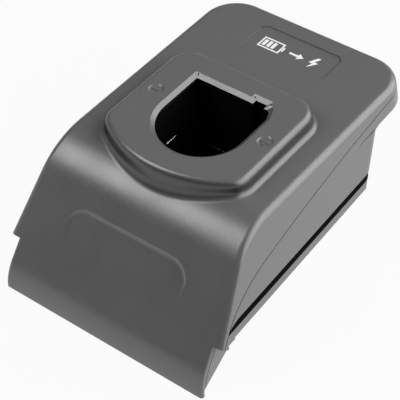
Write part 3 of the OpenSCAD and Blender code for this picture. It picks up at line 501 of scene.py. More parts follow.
print("pad from y =", round(PAD_FRONT_Y, 1), "to", round(PAD_REAR_Y, 1), "mm")

# %% [markdown]
# ## Upper shell
# This is one injection moulding, 2.4 mm thick, with the grain of the mould steel on its outside. It is
# cut out of the full form by the seam, hollowed, and then pierced by the mouth. The label panel and the
# broad arch on the apron are only shallow steps, less than a millimetre deep.

# %% Upper shell
upper = outer_form("upper_casing")
carve(upper, pad_form("pad"), "UNION")
seam = seam_line()
above = [(y, z + SEAM_WIDER) for y, z in seam]
above += [(FRONT_Y - 40, -BEYOND), (FRONT_Y - 40, 90), (REAR_Y + BEYOND, 90)]
carve(upper, prism("above", above, -CUT_X, CUT_X, "x"), "INTERSECT")
carve(upper, stack("hollow", body_outlines(WALL, FLOOR_Z, RIB_X)))
under_pad = [pad_outline(DECK_H - WALL - 1, WALL, 0), pad_outline(PAD_TOP - WALL, WALL, 0)]
carve(upper, stack("pad hollow", under_pad))
for wider, low in ((LINER_OUT + COLLAR_T, COLLAR_Z - 3), (LINER_OUT + LINER_FIT, COLLAR_Z - 3.2)):
    for shape in (well_outline, key_outline):
        carve(upper, prism("collar", shape(wider), low, PAD_TOP - 1.2), "UNION")
for shape in (well_outline, key_outline):
    carve(upper, prism("liner seat", shape(LINER_OUT + LINER_FIT), COLLAR_Z - 20, COLLAR_Z))
throat = [
    (COLLAR_Z - 2, 0.0), (PAD_TOP - 2.5, 0.0), (PAD_TOP - 1.7, -MOUTH_LIP), (PAD_TOP - 1.3, -MOUTH_LIP),
    (PAD_TOP + 0.65, 1.5 * MOUTH_BEVEL - MOUTH_LIP),
]
for shape in (mouth_outline, mouth_key):
    carve(upper, stack("mouth", [level(shape(g), z) for z, g in throat]))
for side in (1, -1):
    for y in CASE_YS:
        post(upper, side * CASE_X, y, CASE_BOSS_R, CASE_SPLIT_Z + 0.1, DECK_H - WALL + 0.05)
        drill(upper, side * CASE_X, y, CASE_HOLE_R, CASE_SPLIT_Z - 1, CASE_SPLIT_Z + 10)
    post(upper, side * LIP_X, LIP_Y, LIP_BOSS_R, LIP_Z + WALL + 0.1, DECK_H - WALL + 0.05)
    drill(upper, side * LIP_X, LIP_Y, LIP_HOLE_R, LIP_Z, DECK_H - WALL + 0.6, 36)
print("upper casing:", len(upper.data.polygons), "faces after the mouth")

# %% [markdown]
# The rim is split by three fine slits where the mould's sliding cores met. They are small, but the eye
# finds them at once because they break a bright edge. Two round dimples beside the mouth carry the
# signs for the poles.

# %% Slits, signs, label panel and arch
for x, y, wide, tall in SLITS:
    carve(upper, prism("slit", centred_box(x, y, wide, tall), COLLAR_Z - 2, PAD_TOP + 2))

for x, y, strokes in SIGNS:
    carve(upper, stack("dimple", [level(arc(x, y, r, 0, 354, 60), PAD_TOP + rise) for r, rise in DIMPLE]))
    for wide, tall in strokes:
        carve(upper, prism("stroke", centred_box(x, y, wide, tall), PAD_TOP - 1, PAD_TOP - 0.04), "UNION")

w, cut, y0, y1 = LABEL_W / 2, LABEL_CORNER, LABEL_Y - LABEL_L / 2, LABEL_Y + LABEL_L / 2
panel = [
    (-w + cut, y0), (w - cut, y0), (w, y0 + cut), (w, y1 - cut),
    (w - cut, y1), (-w + cut, y1), (-w, y1 - cut), (-w, y0 + cut),
]
carve(upper, prism("panel", panel, DECK_H - LABEL_D, DECK_H + 2))


def arch_outline(inset):
    r, w = ARCH_R - inset, ARCH_W / 2 - ARCH_R
    pts = arc(w, -ARCH_R, r, 0, 90, 16) + arc(-w, -ARCH_R, r, 90, 180, 16)
    return pts + [(-w - r, -ARCH_L), (w + r, -ARCH_L)]


cove_end = math.asin(COVE_W / COVE)
rings = [(COVE * (1 - math.cos(a)), COVE_W - COVE * math.sin(a)) for a in np.linspace(0, cove_end, 9)]
rings.append((ARCH_D + 0.02 + ARCH_OVER, -ARCH_OVER / math.tan(cove_end)))
tool = stack("arch", [level(arch_outline(inset), z) for z, inset in rings])
place = Matrix.Translation(Vector((0, apron_y(ARCH_Z, 0) * MM, ARCH_Z * MM)))
place = place @ Matrix.Rotation(SLOPE - math.atan(ARCH_D / ARCH_L), 4, "X")
tool.data.transform(place @ Matrix.Translation(Vector((0, 0, -ARCH_D * MM))))
carve(upper, tool)
soften(upper)
print("upper casing finished:", len(upper.data.polygons), "faces")

# %% [markdown]
# ## Lower shell
# The lower moulding closes the casing from below. A guide slot runs along each side, open at the rear,
# so that the head can be pushed on to the rails of a charger base. Below the slot the rail's face steps
# in by half a millimetre, which shows as a fine line.

# %% Lower shell
lower = outer_form("lower_casing")
carve(lower, prism("belly", belly_outline(0), 0, SLOT_Z), "UNION")
shift = SEAM_GAP * 0.75
below = [(y + shift, z - shift) for y, z in seam] + [(REAR_Y + BEYOND + shift, -BEYOND)]
carve(lower, prism("below", below, -CUT_X, CUT_X, "x"), "INTERSECT")
carve(lower, stack("hollow", body_outlines(WALL, FLOOR_Z, RIB_X)))
carve(lower, prism("belly hollow", belly_outline(WALL), WALL, SLOT_Z))

y0, y1 = FRONT_Y + SLOT_START, REAR_Y
slot_side = [(y0, slot_at(y0) + 0.1), (y1, slot_at(y1)), (y1, slot_at(y1) + SLOT_H * 0.9)]
slot_side += [(y0 + dy, slot_at(y0 + dy) + SLOT_H * share) for dy, share in SLOT_NOSE]
inner = half_w(SLOT_Z) - SLOT_DEPTH
for low, high in ((inner, 80), (-80, -inner)):
    carve(lower, prism("slot", slot_side, low, high, "x"))

for side in (1, -1):
    rings = []
    for y in (FRONT_Y + SLOT_START + 3, REAR_Y):
        top, low = slot_at(y) - 0.8, rail_at(y) - 2
        ring = [
            (half_w(top) - RAIL_STEP, top), (half_w(top) + 4, top),
            (half_w(low) + 4, low), (half_w(low) - RAIL_STEP, low),
        ]
        rings.append([(side * x, y, z) for x, z in ring])
    carve(lower, stack("rail step", rings))
    x, y, z = half_w(SLOT_Z) - 1.6, rear_wall_at(SLOT_Z + 4) - 3.4, SLOT_Z + SLOT_H + 1.2
    low, high = sorted((side * x, side * (x + 6)))
    carve(lower, prism("notch", box(y, z, y + 2.2, z + 3.4), low, high, "x"))
print("lower casing:", len(lower.data.polygons), "faces")

# %% [markdown]
# Underneath, the floor is kept to an even thickness by shallow pockets, the front foot is hollow, and
# four deep round wells take the screws that hold the two shells together. Two more screws sit under
# the rear lip, and an opening in the leaning rear wall lets the base plug through.

# %% Underside of the lower shell
BAYS = ((CASE_YS[0] + 6, CASE_YS[0] + 20), (CASE_YS[0] + 22, CASE_YS[1] - 6))

for side in (1, -1):
    xa, xb = sorted((side * (BELLY_HALF_W + 1.6), side * (RIB_X - 0.6)))
    for ya, yb in BAYS:
        carve(lower, prism("pocket", box(xa, ya, xb, yb), 1, FLOOR_Z - WALL))
    for y in CASE_YS:
        post(lower, side * CASE_X, y, CASE_COLUMN_R, rail_at(y) - 0.4, CASE_SPLIT_Z)
        carve(lower, prism("screw well", circle(side * CASE_X, y, CASE_WELL_R, 60), 0, FLOOR_Z + 2.4))
        drill(lower, side * CASE_X, y, CASE_HOLE_R, FLOOR_Z, 60)
    drill(lower, side * LIP_X, LIP_Y, LIP_WELL_R, LIP_Z - 1, LIP_Z + LIP_SEAT)
    drill(lower, side * LIP_X, LIP_Y, LIP_HOLE_R, LIP_Z, 55, 36)


def chin_in(z):
    return chin_at(z) - WALL / math.sin(math.atan(CHIN))


z0, z1 = CHIN_LIFT + WALL + 3.4, FLOOR_Z + 9
top_y, top_z = foot_top(SKIN)
hollow_side = [
    (front_at(z0, SKIN), z0), (chin_in(z0) + 1.6, z0), (chin_in(FLOOR_Z + 1), FLOOR_Z + 1),
    (chin_in(FLOOR_Z + 1), z1), (front_at(z1, SKIN) - 0.2, z1), (top_y - 0.2, top_z),
    (front_at(top_z * 0.8, SKIN) - 0.2, top_z * 0.8),
]
foot_w = min(FOOT_HALF_W - FOOT_TAPER - WALL - 1.2, RIB_X + 0.6)
cavity = prism("foot hollow", hollow_side, -foot_w, foot_w, "x")
carve(cavity, prism("belly", belly_outline(0), -5, 60))
carve(lower, cavity)

x, y0 = PLUG_W / 2 + 0.1, BOARD_Y + BOARD_L
opening = box(-x, y0, x, y0 + 20)
carve(lower, prism("plug opening", opening, PLUG_Z - PLUG_H / 2 - 0.1, PLUG_Z + PLUG_H / 2 + 0.1))
soften(lower)
print("lower casing finished:", len(lower.data.polygons), "faces")

# %% [markdown]
# ## Moulded plastic
# The casing is a dark grey ABS with a fine spark-eroded grain: thousands of pits a few tenths of a
# millimetre across. They scatter the light of a softbox into a wide, slightly speckled band. A fine
# noise makes the pits, and a broad, faint one keeps the gloss from being perfectly even.


# %% Material helpers
def material(name, color, rough, metallic=0.0, specular=0.5):
    mat = bpy.data.materials.new(name)
    mat.use_nodes = True
    shader = mat.node_tree.nodes["Principled BSDF"]
    values = {"Base Color": (*color, 1), "Roughness": rough, "Metallic": metallic}
    for key, value in {**values, "Specular IOR Level": specular}.items():
        shader.inputs[key].default_value = value
    coords = mat.node_tree.nodes.new("ShaderNodeTexCoord")
    return mat, mat.node_tree, shader, coords.outputs["Object"]


def add(tree, kind, sources=None, values=None, **settings):
    """One node, with its settings, fixed values and the sockets that feed it."""
    node = tree.nodes.new(kind)
    for key, value in settings.items():
        setattr(node, key, value)
    for key, value in (values or {}).items():
        node.inputs[key].default_value = value
    for key, source in (sources or {}).items():
        for one in source if isinstance(source, list) else [source]:
            tree.links.new(one, node.inputs[key])
    return node


def times(tree, source, factor):
    return add(tree, "ShaderNodeMath", {0: source}, {1: factor}, operation="MULTIPLY").outputs[0]


def noise(tree, coords, scale, detail=3.0, rough=0.5):
    values = {"Scale": scale, "Detail": detail, "Roughness": rough}
    return add(tree, "ShaderNodeTexNoise", {"Vector": coords}, values).outputs["Fac"]


def spread(tree, value, low, high, from_low=0.3, from_high=0.7):
    """Stretches the middle of a noise from low to high."""
    limits = {"From Min": from_low, "From Max": from_high, "To Min": low, "To Max": high}
    return add(tree, "ShaderNodeMapRange", {"Value": value}, limits).outputs["Result"]


def mix_colors(tree, value, a, b):
    return add(tree, "ShaderNodeMix", {0: value}, {6: (*a, 1), 7: (*b, 1)}, data_type="RGBA").outputs[2]


def shade(color, share):
    return tuple(c * share for c in color)


def tint(tree, shader, value, a, b):
    """Colours the surface between a and b, as the value asks."""
    tree.links.new(mix_colors(tree, value, a, b), shader.inputs["Base Color"])


def bump(tree, shader, height, strength, distance):
    node = add(tree, "ShaderNodeBump", {"Height": height}, {"Strength": strength, "Distance": distance})
    tree.links.new(node.outputs["Normal"], shader.inputs["Normal"])


def grained_plastic(name, color, rough, grain=0.55, scale=2300.0, specular=0.5):
    mat, tree, shader, coords = material(name, color, rough, specular=specular)
    pits = noise(tree, coords, scale, 2.0, 0.55)
    broad = noise(tree, coords, 60.0)
    tint(tree, shader, spread(tree, pits, 0.0, 1.0), shade(color, 0.88), shade(color, 1.1))
    tree.links.new(spread(tree, broad, rough - 0.03, rough + 0.04), shader.inputs["Roughness"])
    bump(tree, shader, pits, grain, 0.00004)
    return mat


CASING = grained_plastic("casing plastic", (0.12, 0.12, 0.122), 0.34, specular=0.95)
print("casing plastic ready:", len(CASING.node_tree.nodes), "nodes")

# %% [markdown]
# The pad's steep wall and the guide slots look almost black, because they mirror the dark side of the
# room. The few lamps here don't give them that, so those faces get a painted shade: a much darker colour
# and a smoother gloss that stand in for the dark they mirror. Each face corner stores how much of that
# painted shade it gets.

# %% Painted shade on steep walls and slots
# Painted shade: a near black colour and a smoother gloss that stand in for the dark the steep pad wall and
# the slots mirror.
PAINTED_SHADE_COLOR, PAINTED_SHADE_ROUGH = (0.008, 0.008, 0.008, 1), 0.3

tree = CASING.node_tree
shader = tree.nodes["Principled BSDF"]
painted_shade_share = add(tree, "ShaderNodeAttribute", attribute_name="painted_shade").outputs["Fac"]
grained = {key: shader.inputs[key].links[0].from_socket for key in ("Base Color", "Roughness")}
color_mix = add(
    tree, "ShaderNodeMix", {0: painted_shade_share, 6: grained["Base Color"]}, {7: PAINTED_SHADE_COLOR}, data_type="RGBA"
)
rough_mix = add(tree, "ShaderNodeMix", {0: painted_shade_share, 2: grained["Roughness"]}, {3: PAINTED_SHADE_ROUGH})
tree.links.new(color_mix.outputs[2], shader.inputs["Base Color"])
tree.links.new(rough_mix.outputs[0], shader.inputs["Roughness"])


def mark_painted_shade(obj, test):
    """Stores how much painted shade each face corner gets: 0 for plain grain, 1 for a smooth wall painted
    near black.
    """
    layer = obj.data.attributes.new("painted_shade", "FLOAT", "CORNER")
    for face in obj.data.polygons:
        for k in face.loop_indices:
            spot = obj.data.vertices[obj.data.loops[k].vertex_index].co * 1000
            layer.data[k].value = test(spot, obj.data.corner_normals[k].vector)


# How much painted shade the pad's steep wall gets: more where the wall is steeper.
def steep_pad_wall(p, n):
    near = abs(p.x) < PAD_W / 2 + 1.5 and PAD_FRONT_Y - 3 < p.y < PAD_REAR_Y + 3 and p.z > DECK_H - 12
    in_dimple = p.z > PAD_TOP - 0.5 and 21 < abs(p.x) < 30
    return min(1.0, max(0.0, (0.85 - n.z) / 0.6)) if near and not in_dimple else 0.0


# The slot's walls, floor and ceiling get the full painted shade.
def slot_wall(p, n):
    beside_slot = -0.12 < p.z - slot_at(p.y) < SLOT_H + 0.15
    return 1.0 if beside_slot and (abs(p.x) < half_w(p.z) - 0.3 or abs(n.x) < 0.5) else 0.0


# Paint the shade onto the pad's steep wall and into the guide slots.
mark_painted_shade(upper, steep_pad_wall)
mark_painted_shade(lower, slot_wall)
for shell, node in ((upper, "upper_shell"), (lower, "lower_shell")):
    shell.data.materials.clear()
    shell.data.materials.append(CASING)
    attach(shell, "casing")
    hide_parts(node)
print("casing plastic on", upper.name, "and", lower.name)

# %% [markdown]
# ## Tools that repeat and follow
# Screws repeat, and leads follow a path. Both are made by Geometry Nodes: a small tree with named sizes
# turns seat points into screws, or a bent wire path into a round tube. Each result is turned into a
# plain mesh before it joins the model, so nothing is left to be computed later.


# %% Geometry Nodes helpers
def new_tree(name, inputs):
    tree = bpy.data.node_groups.new(name, "GeometryNodeTree")
    for in_out in ("INPUT", "OUTPUT"):
        tree.interface.new_socket("Geometry", in_out=in_out, socket_type="NodeSocketGeometry")
    for label, kind in inputs:
        tree.interface.new_socket(label, in_out="INPUT", socket_type="NodeSocket" + kind)
    return tree, tree.nodes.new("NodeGroupInput").outputs


def end_tree(tree, geometry, finish):
    """Makes instances real, then sets the finish."""
    real = add(tree, "GeometryNodeRealizeInstances", {"Geometry": geometry})
    coat = add(tree, "GeometryNodeSetMaterial", {"Geometry": real.outputs[0], "Material": finish})
    tree.links.new(coat.outputs[0], tree.nodes.new("NodeGroupOutput").inputs[0])


def grow(name, base, tree, sizes):
    """Runs a tree on the base object and keeps the result as a plain mesh piece."""
    mod = base.modifiers.new("grow", "NODES")
    mod.node_group = tree
    for item in tree.interface.items_tree:
        if item.in_out == "INPUT" and item.name in sizes:
            mod[item.identifier] = sizes[item.name]
    mesh = worked_out(base)
    base.modifiers.clear()
    bpy.data.objects.remove(base, do_unlink=True)
    return linked(name, mesh)


def finish_piece(obj, body, node):
    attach(obj, body)
    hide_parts(node)
    spots = np.array([v.co for v in obj.data.vertices]) * 1000
    print(obj.name, len(obj.data.polygons), "faces,", np.ptp(spots, axis=0).round(1).tolist(), "mm")

# %% [markdown]
# ## Metal finishes
# Strips, clips and blades are plated, screws are zinc, the heat sink is bare rolled aluminium. All are
# the same idea with other numbers: a metal whose fine drawing lines run one way. The lines come from a
# noise that is stretched a long way along one axis.


# %% Metal materials
def drawn_metal(name, color, rough, lines=(900.0, 900.0, 60.0), depth=0.25):
    mat, tree, shader, coords = material(name, color, rough, metallic=1.0)
    stretch = add(tree, "ShaderNodeMapping", {"Vector": coords}, {"Scale": lines})
    scratch = noise(tree, stretch.outputs["Vector"], 1.0, 3.0, 0.6)
    cloud = noise(tree, coords, 180.0)
    tint(tree, shader, spread(tree, cloud, 0.0, 1.0), shade(color, 0.8), color)
    tree.links.new(spread(tree, scratch, rough - 0.05, rough + 0.12), shader.inputs["Roughness"])
    bump(tree, shader, scratch, depth, 0.00002)
    return mat


NICKEL = drawn_metal("nickel plate", (0.78, 0.76, 0.72), 0.16, depth=0.06)
ZINC = drawn_metal("zinc plate", (0.50, 0.51, 0.52), 0.34, (400.0, 400.0, 400.0))
TIN = drawn_metal("tin plate", (0.66, 0.64, 0.58), 0.3, (60.0, 900.0, 900.0))
BRASS = drawn_metal("tinned brass", (0.72, 0.64, 0.42), 0.26, (900.0, 50.0, 900.0))
ALUMINIUM = drawn_metal("rolled aluminium", (0.62, 0.63, 0.65), 0.36, (900.0, 900.0, 40.0))
CAPS = drawn_metal("bright caps", (0.72, 0.73, 0.75), 0.18, (40.0, 700.0, 700.0))
print("metals ready:", [m.name for m in (NICKEL, ZINC, TIN, BRASS, ALUMINIUM, CAPS)])

# %% [markdown]
# ## Sprung contact strips
# Each strip is a stamped leaf of plated bronze: a flat foot, a square bend at the root and an upright
# blade that bows towards the battery. A stamped and plated edge is never sharp, and that is why a leaf
# in a black well shows as one bright line. So the leaf is drawn as rounded cross-sections carried along
# its centre line, thinner and narrower at the two ends.

# %% Contact strips
STRIP_W, STRIP_T, STRIP_Z, STRIP_FOOT, STRIP_BOW, ROOT_R, END_R = 6.3, 0.6, 4.6, 6.0, 1.2, 0.6, 0.3
STRIP_X, STRIP_Y, STRIP_TOP = WELL_R + 0.4 - 2.0, WELL_Y + 2.8, 42.0
SENSOR_X, SENSOR_Y, SENSOR_TOP = -8.0, WELL_REAR_Y + 0.4 - 2.0, 30.0
END_STEPS = (0.0, 0.03, 0.1, 0.2, 0.3)


def bow_at(t):
    if t < 1 / 7:
        return bow_at(1 / 7) * t * 7
    return -STRIP_BOW * math.sin(math.pi * min(1, t * 1.08)) ** 2 - 0.35 * t


def leaf(name, top, place):
    h = top - STRIP_Z
    line = [(-STRIP_FOOT + e, 0.0) for e in END_STEPS + (0.6, 2.0, 4.0)]
    root = np.linspace(0, math.pi / 2, 8)
    line += [(-ROOT_R + ROOT_R * math.sin(a), ROOT_R - ROOT_R * math.cos(a)) for a in root]
    line += [(bow_at(t), h * t) for t in np.linspace(0.04, 0.985, 40)]
    line += [(bow_at(1 - e / h), h - e) for e in reversed(END_STEPS + (0.4,))]
    line = np.array(line)
    way = np.gradient(line, axis=0)
    way /= np.linalg.norm(way, axis=1)[:, None]
    along = np.concatenate([[0], np.cumsum(np.linalg.norm(np.diff(line, axis=0), axis=1))])
    rings = []
    for p, d, s in zip(line, way, along):
        e = min(s, along[-1] - s)
        edge = math.sqrt(max(0.02, 1 - (1 - min(1, e / END_R)) ** 2))
        t, w = STRIP_T / 2 * edge, STRIP_W / 2 - END_R * (1 - edge)
        half_turn = np.linspace(-math.pi / 2, math.pi / 2, 9)
        section = [(w - t + t * math.cos(a), t * math.sin(a)) for a in half_turn]
        section += [(-y, -n) for y, n in section]
        rings.append([place(p[0] - n * d[1], y, p[1] + n * d[0]) for y, n in section])
    piece = stack(name, rings)
    soften(piece, 50)
    piece.data.materials.append(NICKEL)
    return piece


for name, top, place, body, node in (
    ("negative_strip_leaf", STRIP_TOP, lambda x, y, z: (-STRIP_X - x, STRIP_Y + y, STRIP_Z + z),
     "negative_strip", "negative_contact"),
    ("positive_strip_leaf", STRIP_TOP, lambda x, y, z: (STRIP_X + x, STRIP_Y + y, STRIP_Z + z),
     "positive_strip", "positive_contact"),
    ("sensor_strip_leaf", SENSOR_TOP, lambda x, y, z: (SENSOR_X - y, SENSOR_Y + x, STRIP_Z + z),
     "sensor_strip", "sensor_contact"),
):
    finish_piece(leaf(name, top, place), body, node)

# %% [markdown]
# ## Leads
# Three sleeved leads run from the strips along the floor, up behind the well and over the edge of the
# board. A real lead is a round sleeve on a smooth path, so a tree sweeps a circle along a drawn path and
# closes its ends. The path's own points are the bends that the sleeve makes.

# %% Lead tree and leads
tree, ends = new_tree("sleeved lead", [("Radius", "Float"), ("Sleeve", "Material")])
ring = add(tree, "GeometryNodeCurvePrimitiveCircle", {"Radius": ends["Radius"]}, {"Resolution": 18})
curves = {"Curve": ends["Geometry"], "Profile Curve": ring.outputs["Curve"]}
swept = add(tree, "GeometryNodeCurveToMesh", curves, {"Fill Caps": True})
end_tree(tree, swept.outputs["Mesh"], ends["Sleeve"])


def sleeve(name, color):
    mat, tree, shader, coords = material(name, color, 0.42)
    grain = noise(tree, coords, 900.0)
    tint(tree, shader, spread(tree, grain, 0.0, 1.0), shade(color, 0.75), color)
    gloss = spread(tree, noise(tree, coords, 250.0), 0.36, 0.52)
    tree.links.new(gloss, shader.inputs["Roughness"])
    bump(tree, shader, grain, 0.2, 0.00003)
    return mat


LEAD_R, LEAD_X, LEAD_Y, LEAD_TOP, LEAD_BEND = 1.0, STRIP_X + 2.3, 19.8, BOARD_TOP + 4, 2
HOP = (BOARD_Y + 2 - LEAD_Y) / 2
SIDE_START = STRIP_Y + STRIP_W / 2 + 2
for name, x, start, color, node, slot_name in (
    ("negative_wire", -LEAD_X, SIDE_START, (0.015, 0.015, 0.015), "negative_lead", "lead_black"),
    ("positive_wire", LEAD_X, SIDE_START, (0.4, 0.03, 0.02), "positive_lead", "lead_red"),
    ("sensor_wire", SENSOR_X, SENSOR_Y + 2.5, (0.5, 0.36, 0.03), "sensor_lead", "lead_yellow"),
):
    path = [(start, STRIP_Z)]
    path += arc(LEAD_Y - LEAD_BEND, STRIP_Z + LEAD_BEND, LEAD_BEND, -90, 0, 10)
    path += arc(LEAD_Y + HOP, LEAD_TOP, HOP, 180, 0, 14) + [(LEAD_Y + 2 * HOP, BOARD_TOP + 0.1)]
    data = bpy.data.curves.new(name, "CURVE")
    data.dimensions = "3D"
    spline = data.splines.new("POLY")
    spline.points.add(len(path) - 1)
    for point, (y, z) in zip(spline.points, path):
        point.co = (x * MM, y * MM, z * MM, 1)
    base = linked(name + " path", data)
    finish = sleeve(name.replace("_", " "), color)
    wire = grow(name, base, tree, {"Radius": LEAD_R * MM, "Sleeve": finish})
    soften(wire, 50)
    finish_piece(wire, "casing", node)

# %% [markdown]
# ## Screws
# Four long screws hold the shells together, two short ones close the lip, two hold the liner and two
# the board. One tree makes them all: a pan head that narrows towards its top, a cross recess cut into
# it, and a plain shank, set on every seat point. Head down or head up is one more input.

# %% Screw tree and screws
tree, ends = new_tree("cross head screws", [
    ("Head Diameter", "Float"), ("Head Height", "Float"), ("Shank Diameter", "Float"),
    ("Shank Length", "Float"), ("Turn", "Float"), ("Plating", "Material"),
])
head_d, head_h, shank_l = ends["Head Diameter"], ends["Head Height"], ends["Shank Length"]


def moved(mesh, axis, way):
    offset = add(tree, "ShaderNodeCombineXYZ", {axis: way}).outputs[0]
    return add(tree, "GeometryNodeTransform", {"Geometry": mesh, "Translation": offset}).outputs[0]


cone = {"Radius Top": times(tree, head_d, 0.4), "Radius Bottom": times(tree, head_d, 0.5)}
head = add(tree, "GeometryNodeMeshCone", {**cone, "Depth": head_h}, {"Vertices": 40})
arms = []
for wide, slim in (("X", "Y"), ("Y", "X")):
    sides = {wide: times(tree, head_d, 0.6), slim: times(tree, head_d, 0.14), "Z": head_h}
    size = add(tree, "ShaderNodeCombineXYZ", sides)
    arm = add(tree, "GeometryNodeMeshCube", {"Size": size.outputs[0]})
    arms.append(moved(arm.outputs["Mesh"], "Z", head_h))
cut_head = {"Mesh 1": head.outputs["Mesh"], "Mesh 2": arms}
recessed = add(tree, "GeometryNodeMeshBoolean", cut_head, operation="DIFFERENCE")
rod = {"Radius": times(tree, ends["Shank Diameter"], 0.5), "Depth": shank_l}
shank = add(tree, "GeometryNodeMeshCylinder", rod, {"Vertices": 32})
lowered = moved(shank.outputs["Mesh"], "Z", times(tree, shank_l, -0.5))
screw = add(tree, "GeometryNodeJoinGeometry", {"Geometry": [recessed.outputs["Mesh"], lowered]})
facing = add(tree, "ShaderNodeCombineXYZ", {"X": ends["Turn"]})
seated = {"Points": ends["Geometry"], "Instance": screw.outputs[0], "Rotation": facing.outputs[0]}
placed = add(tree, "GeometryNodeInstanceOnPoints", seated)
end_tree(tree, placed.outputs[0], ends["Plating"])


def both_sides(x, y, z):
    return [(-x, y, z), (x, y, z)]


CASE_SEAT_Z, DOWN, SMALL = 28.5, math.pi, (4.0, 1.4, 2.2)
case_seats = [(s * CASE_X, y, CASE_SEAT_Z) for s in (-1, 1) for y in CASE_YS]
for name, seats, across, tall, shank_d, length, turn, node in (
    ("case_screw_set", case_seats, 5.6, 2.2, 3.0, CASE_SPLIT_Z + 8 - CASE_SEAT_Z, DOWN, "case_screws"),
    ("lip_screw_set", both_sides(LIP_X, LIP_Y, LIP_Z + LIP_SEAT), *SMALL, 5.0, DOWN, "lip_screws"),
    ("liner_screw_set", both_sides(13.0, -25.95, 8.6), *SMALL, 5.0, 0.0, "liner_screws"),
    ("board_screw_set", both_sides(32.5, 28.8, BOARD_TOP), *SMALL, 7.0, 0.0, "board_screws"),
):
    seat_mesh = bpy.data.meshes.new(name + " seats")
    seat_mesh.from_pydata([tuple(c * MM for c in seat) for seat in seats], [], [])
    screws = grow(name, linked(name + " seats", seat_mesh), tree, {
        "Head Diameter": across * MM, "Head Height": tall * MM, "Shank Diameter": shank_d * MM,
        "Shank Length": length * MM, "Turn": turn, "Plating": ZINC,
    })
    soften(screws, 30)
    finish_piece(screws, "casing", node)

# %% [markdown]
# ## Finishes inside
# The liner is a smooth black moulding, painted near black with a painted shade that stands in for the
# dark deep in the well, so that the well looks bottomless from above. The board is green laminate with a
# faint weave. The capacitor has a shrink sleeve, the resistors a dipped coat with colour bands, and the
# diode and the plug are plain black mouldings with a satin skin.


# %% Inner materials
def moulded(name, color, rough, specular=0.5, scale=1400.0):
    return grained_plastic(name, color, rough, 0.2, scale, specular)


# The liner's near black colour is its own black plus painted shade for the deep well.
LINER = moulded("black liner with painted shade", (0.0035, 0.0035, 0.0035), 0.5, 0.12)
BLOCK = moulded("contact block", (0.03, 0.03, 0.032), 0.48)
DIODE = moulded("diode moulding", (0.02, 0.02, 0.02), 0.5, scale=2600.0)
PLUG = moulded("plug moulding", (0.025, 0.025, 0.027), 0.42)
SLEEVE = sleeve("shrink sleeve", (0.02, 0.03, 0.06))


def laminate(name, color):
    mat, tree, shader, coords = material(name, color, 0.3)
    weave = {}
    for i, axis in enumerate(("X", "Y")):
        values = {"Scale": 420.0, "Distortion": 0.6}
        wave = add(tree, "ShaderNodeTexWave", {"Vector": coords}, values, bands_direction=axis)
        weave[i] = wave.outputs["Fac"]
    both = add(tree, "ShaderNodeMath", weave, operation="MULTIPLY").outputs[0]
    tint(tree, shader, both, shade(color, 0.8), color)
    bump(tree, shader, both, 0.12, 0.00003)
    return mat


def banded(name, color, bands):
    """A dipped coat with colour bands across X; each band is a middle and half its width, in mm."""
    mat, tree, shader, coords = material(name, color, 0.32)
    along = add(tree, "ShaderNodeSeparateXYZ", {0: coords}).outputs["X"]
    cloud = noise(tree, coords, 600.0)
    look = mix_colors(tree, spread(tree, cloud, 0.0, 1.0), shade(color, 0.85), color)
    for middle, half, paint in bands:
        away = add(tree, "ShaderNodeMath", {0: along}, {1: middle * MM}, operation="SUBTRACT")
        far = add(tree, "ShaderNodeMath", {0: away.outputs[0]}, operation="ABSOLUTE")
        inside = add(tree, "ShaderNodeMath", {0: far.outputs[0]}, {1: half * MM}, operation="LESS_THAN")
        mixed = {0: inside.outputs[0], 6: look}
        look = add(tree, "ShaderNodeMix", mixed, {7: (*paint, 1)}, data_type="RGBA").outputs[2]
    tree.links.new(look, shader.inputs["Base Color"])
    bump(tree, shader, cloud, 0.1, 0.00003)
    return mat


LAMINATE = laminate("board laminate", (0.03, 0.15, 0.06))
RESISTOR_X = -11.0 - 4.5
DIPPED = banded("dipped coat", (0.55, 0.44, 0.25), [
    (RESISTOR_X + 0.9, 0.18, (0.18, 0.05, 0.02)), (RESISTOR_X + 1.7, 0.16, (0.02, 0.02, 0.02)),
    (RESISTOR_X + 2.4, 0.16, (0.5, 0.16, 0.02)), (RESISTOR_X + 3.4, 0.18, (0.5, 0.36, 0.08)),
])
INNER = (
    ("well_liner", LINER), ("contact_block", BLOCK), ("circuit_board", LAMINATE),
    ("filter_capacitor", SLEEVE), ("blocking_diode", DIODE), ("heat_sink", ALUMINIUM), ("fuse", CAPS),
    ("fuse_clips", TIN), ("coding_resistors", DIPPED), ("base_plug", PLUG), ("plug_blades", BRASS),
)
for node, mat in INNER:
    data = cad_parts[node].data
    data.materials.clear()
    data.materials.append(mat)
print(len(INNER), "CAD pieces have their own finish")

# %% [markdown]
# ## Marks on the panel
# The shallow panel holds a printed mark that needs no words: a battery, an arrow and a bolt for
# charging. It is a pad print, a film of white ink a few hundredths of a millimetre thick.

# %% Printed marks
INK_Z = DECK_H - LABEL_D
ARROW = ((-0.8, -0.55), (3.2, -0.55), (3.2, -1.9), (5.8, 0), (3.2, 1.9), (3.2, 0.55), (-0.8, 0.55))
BOLT = ((10.6, 3.6), (8.4, -0.4), (10.1, -0.4), (9.3, -3.6), (12.4, 0.7), (10.6, 0.7), (12.0, 3.6))
CELL_X, CELL_W, CELL_STEP = -13.2, 1.4, 2.1


def ink(points, low=-0.02, high=0.03):
    return prism("ink", [(x, LABEL_Y + y) for x, y in points], INK_Z + low, INK_Z + high)


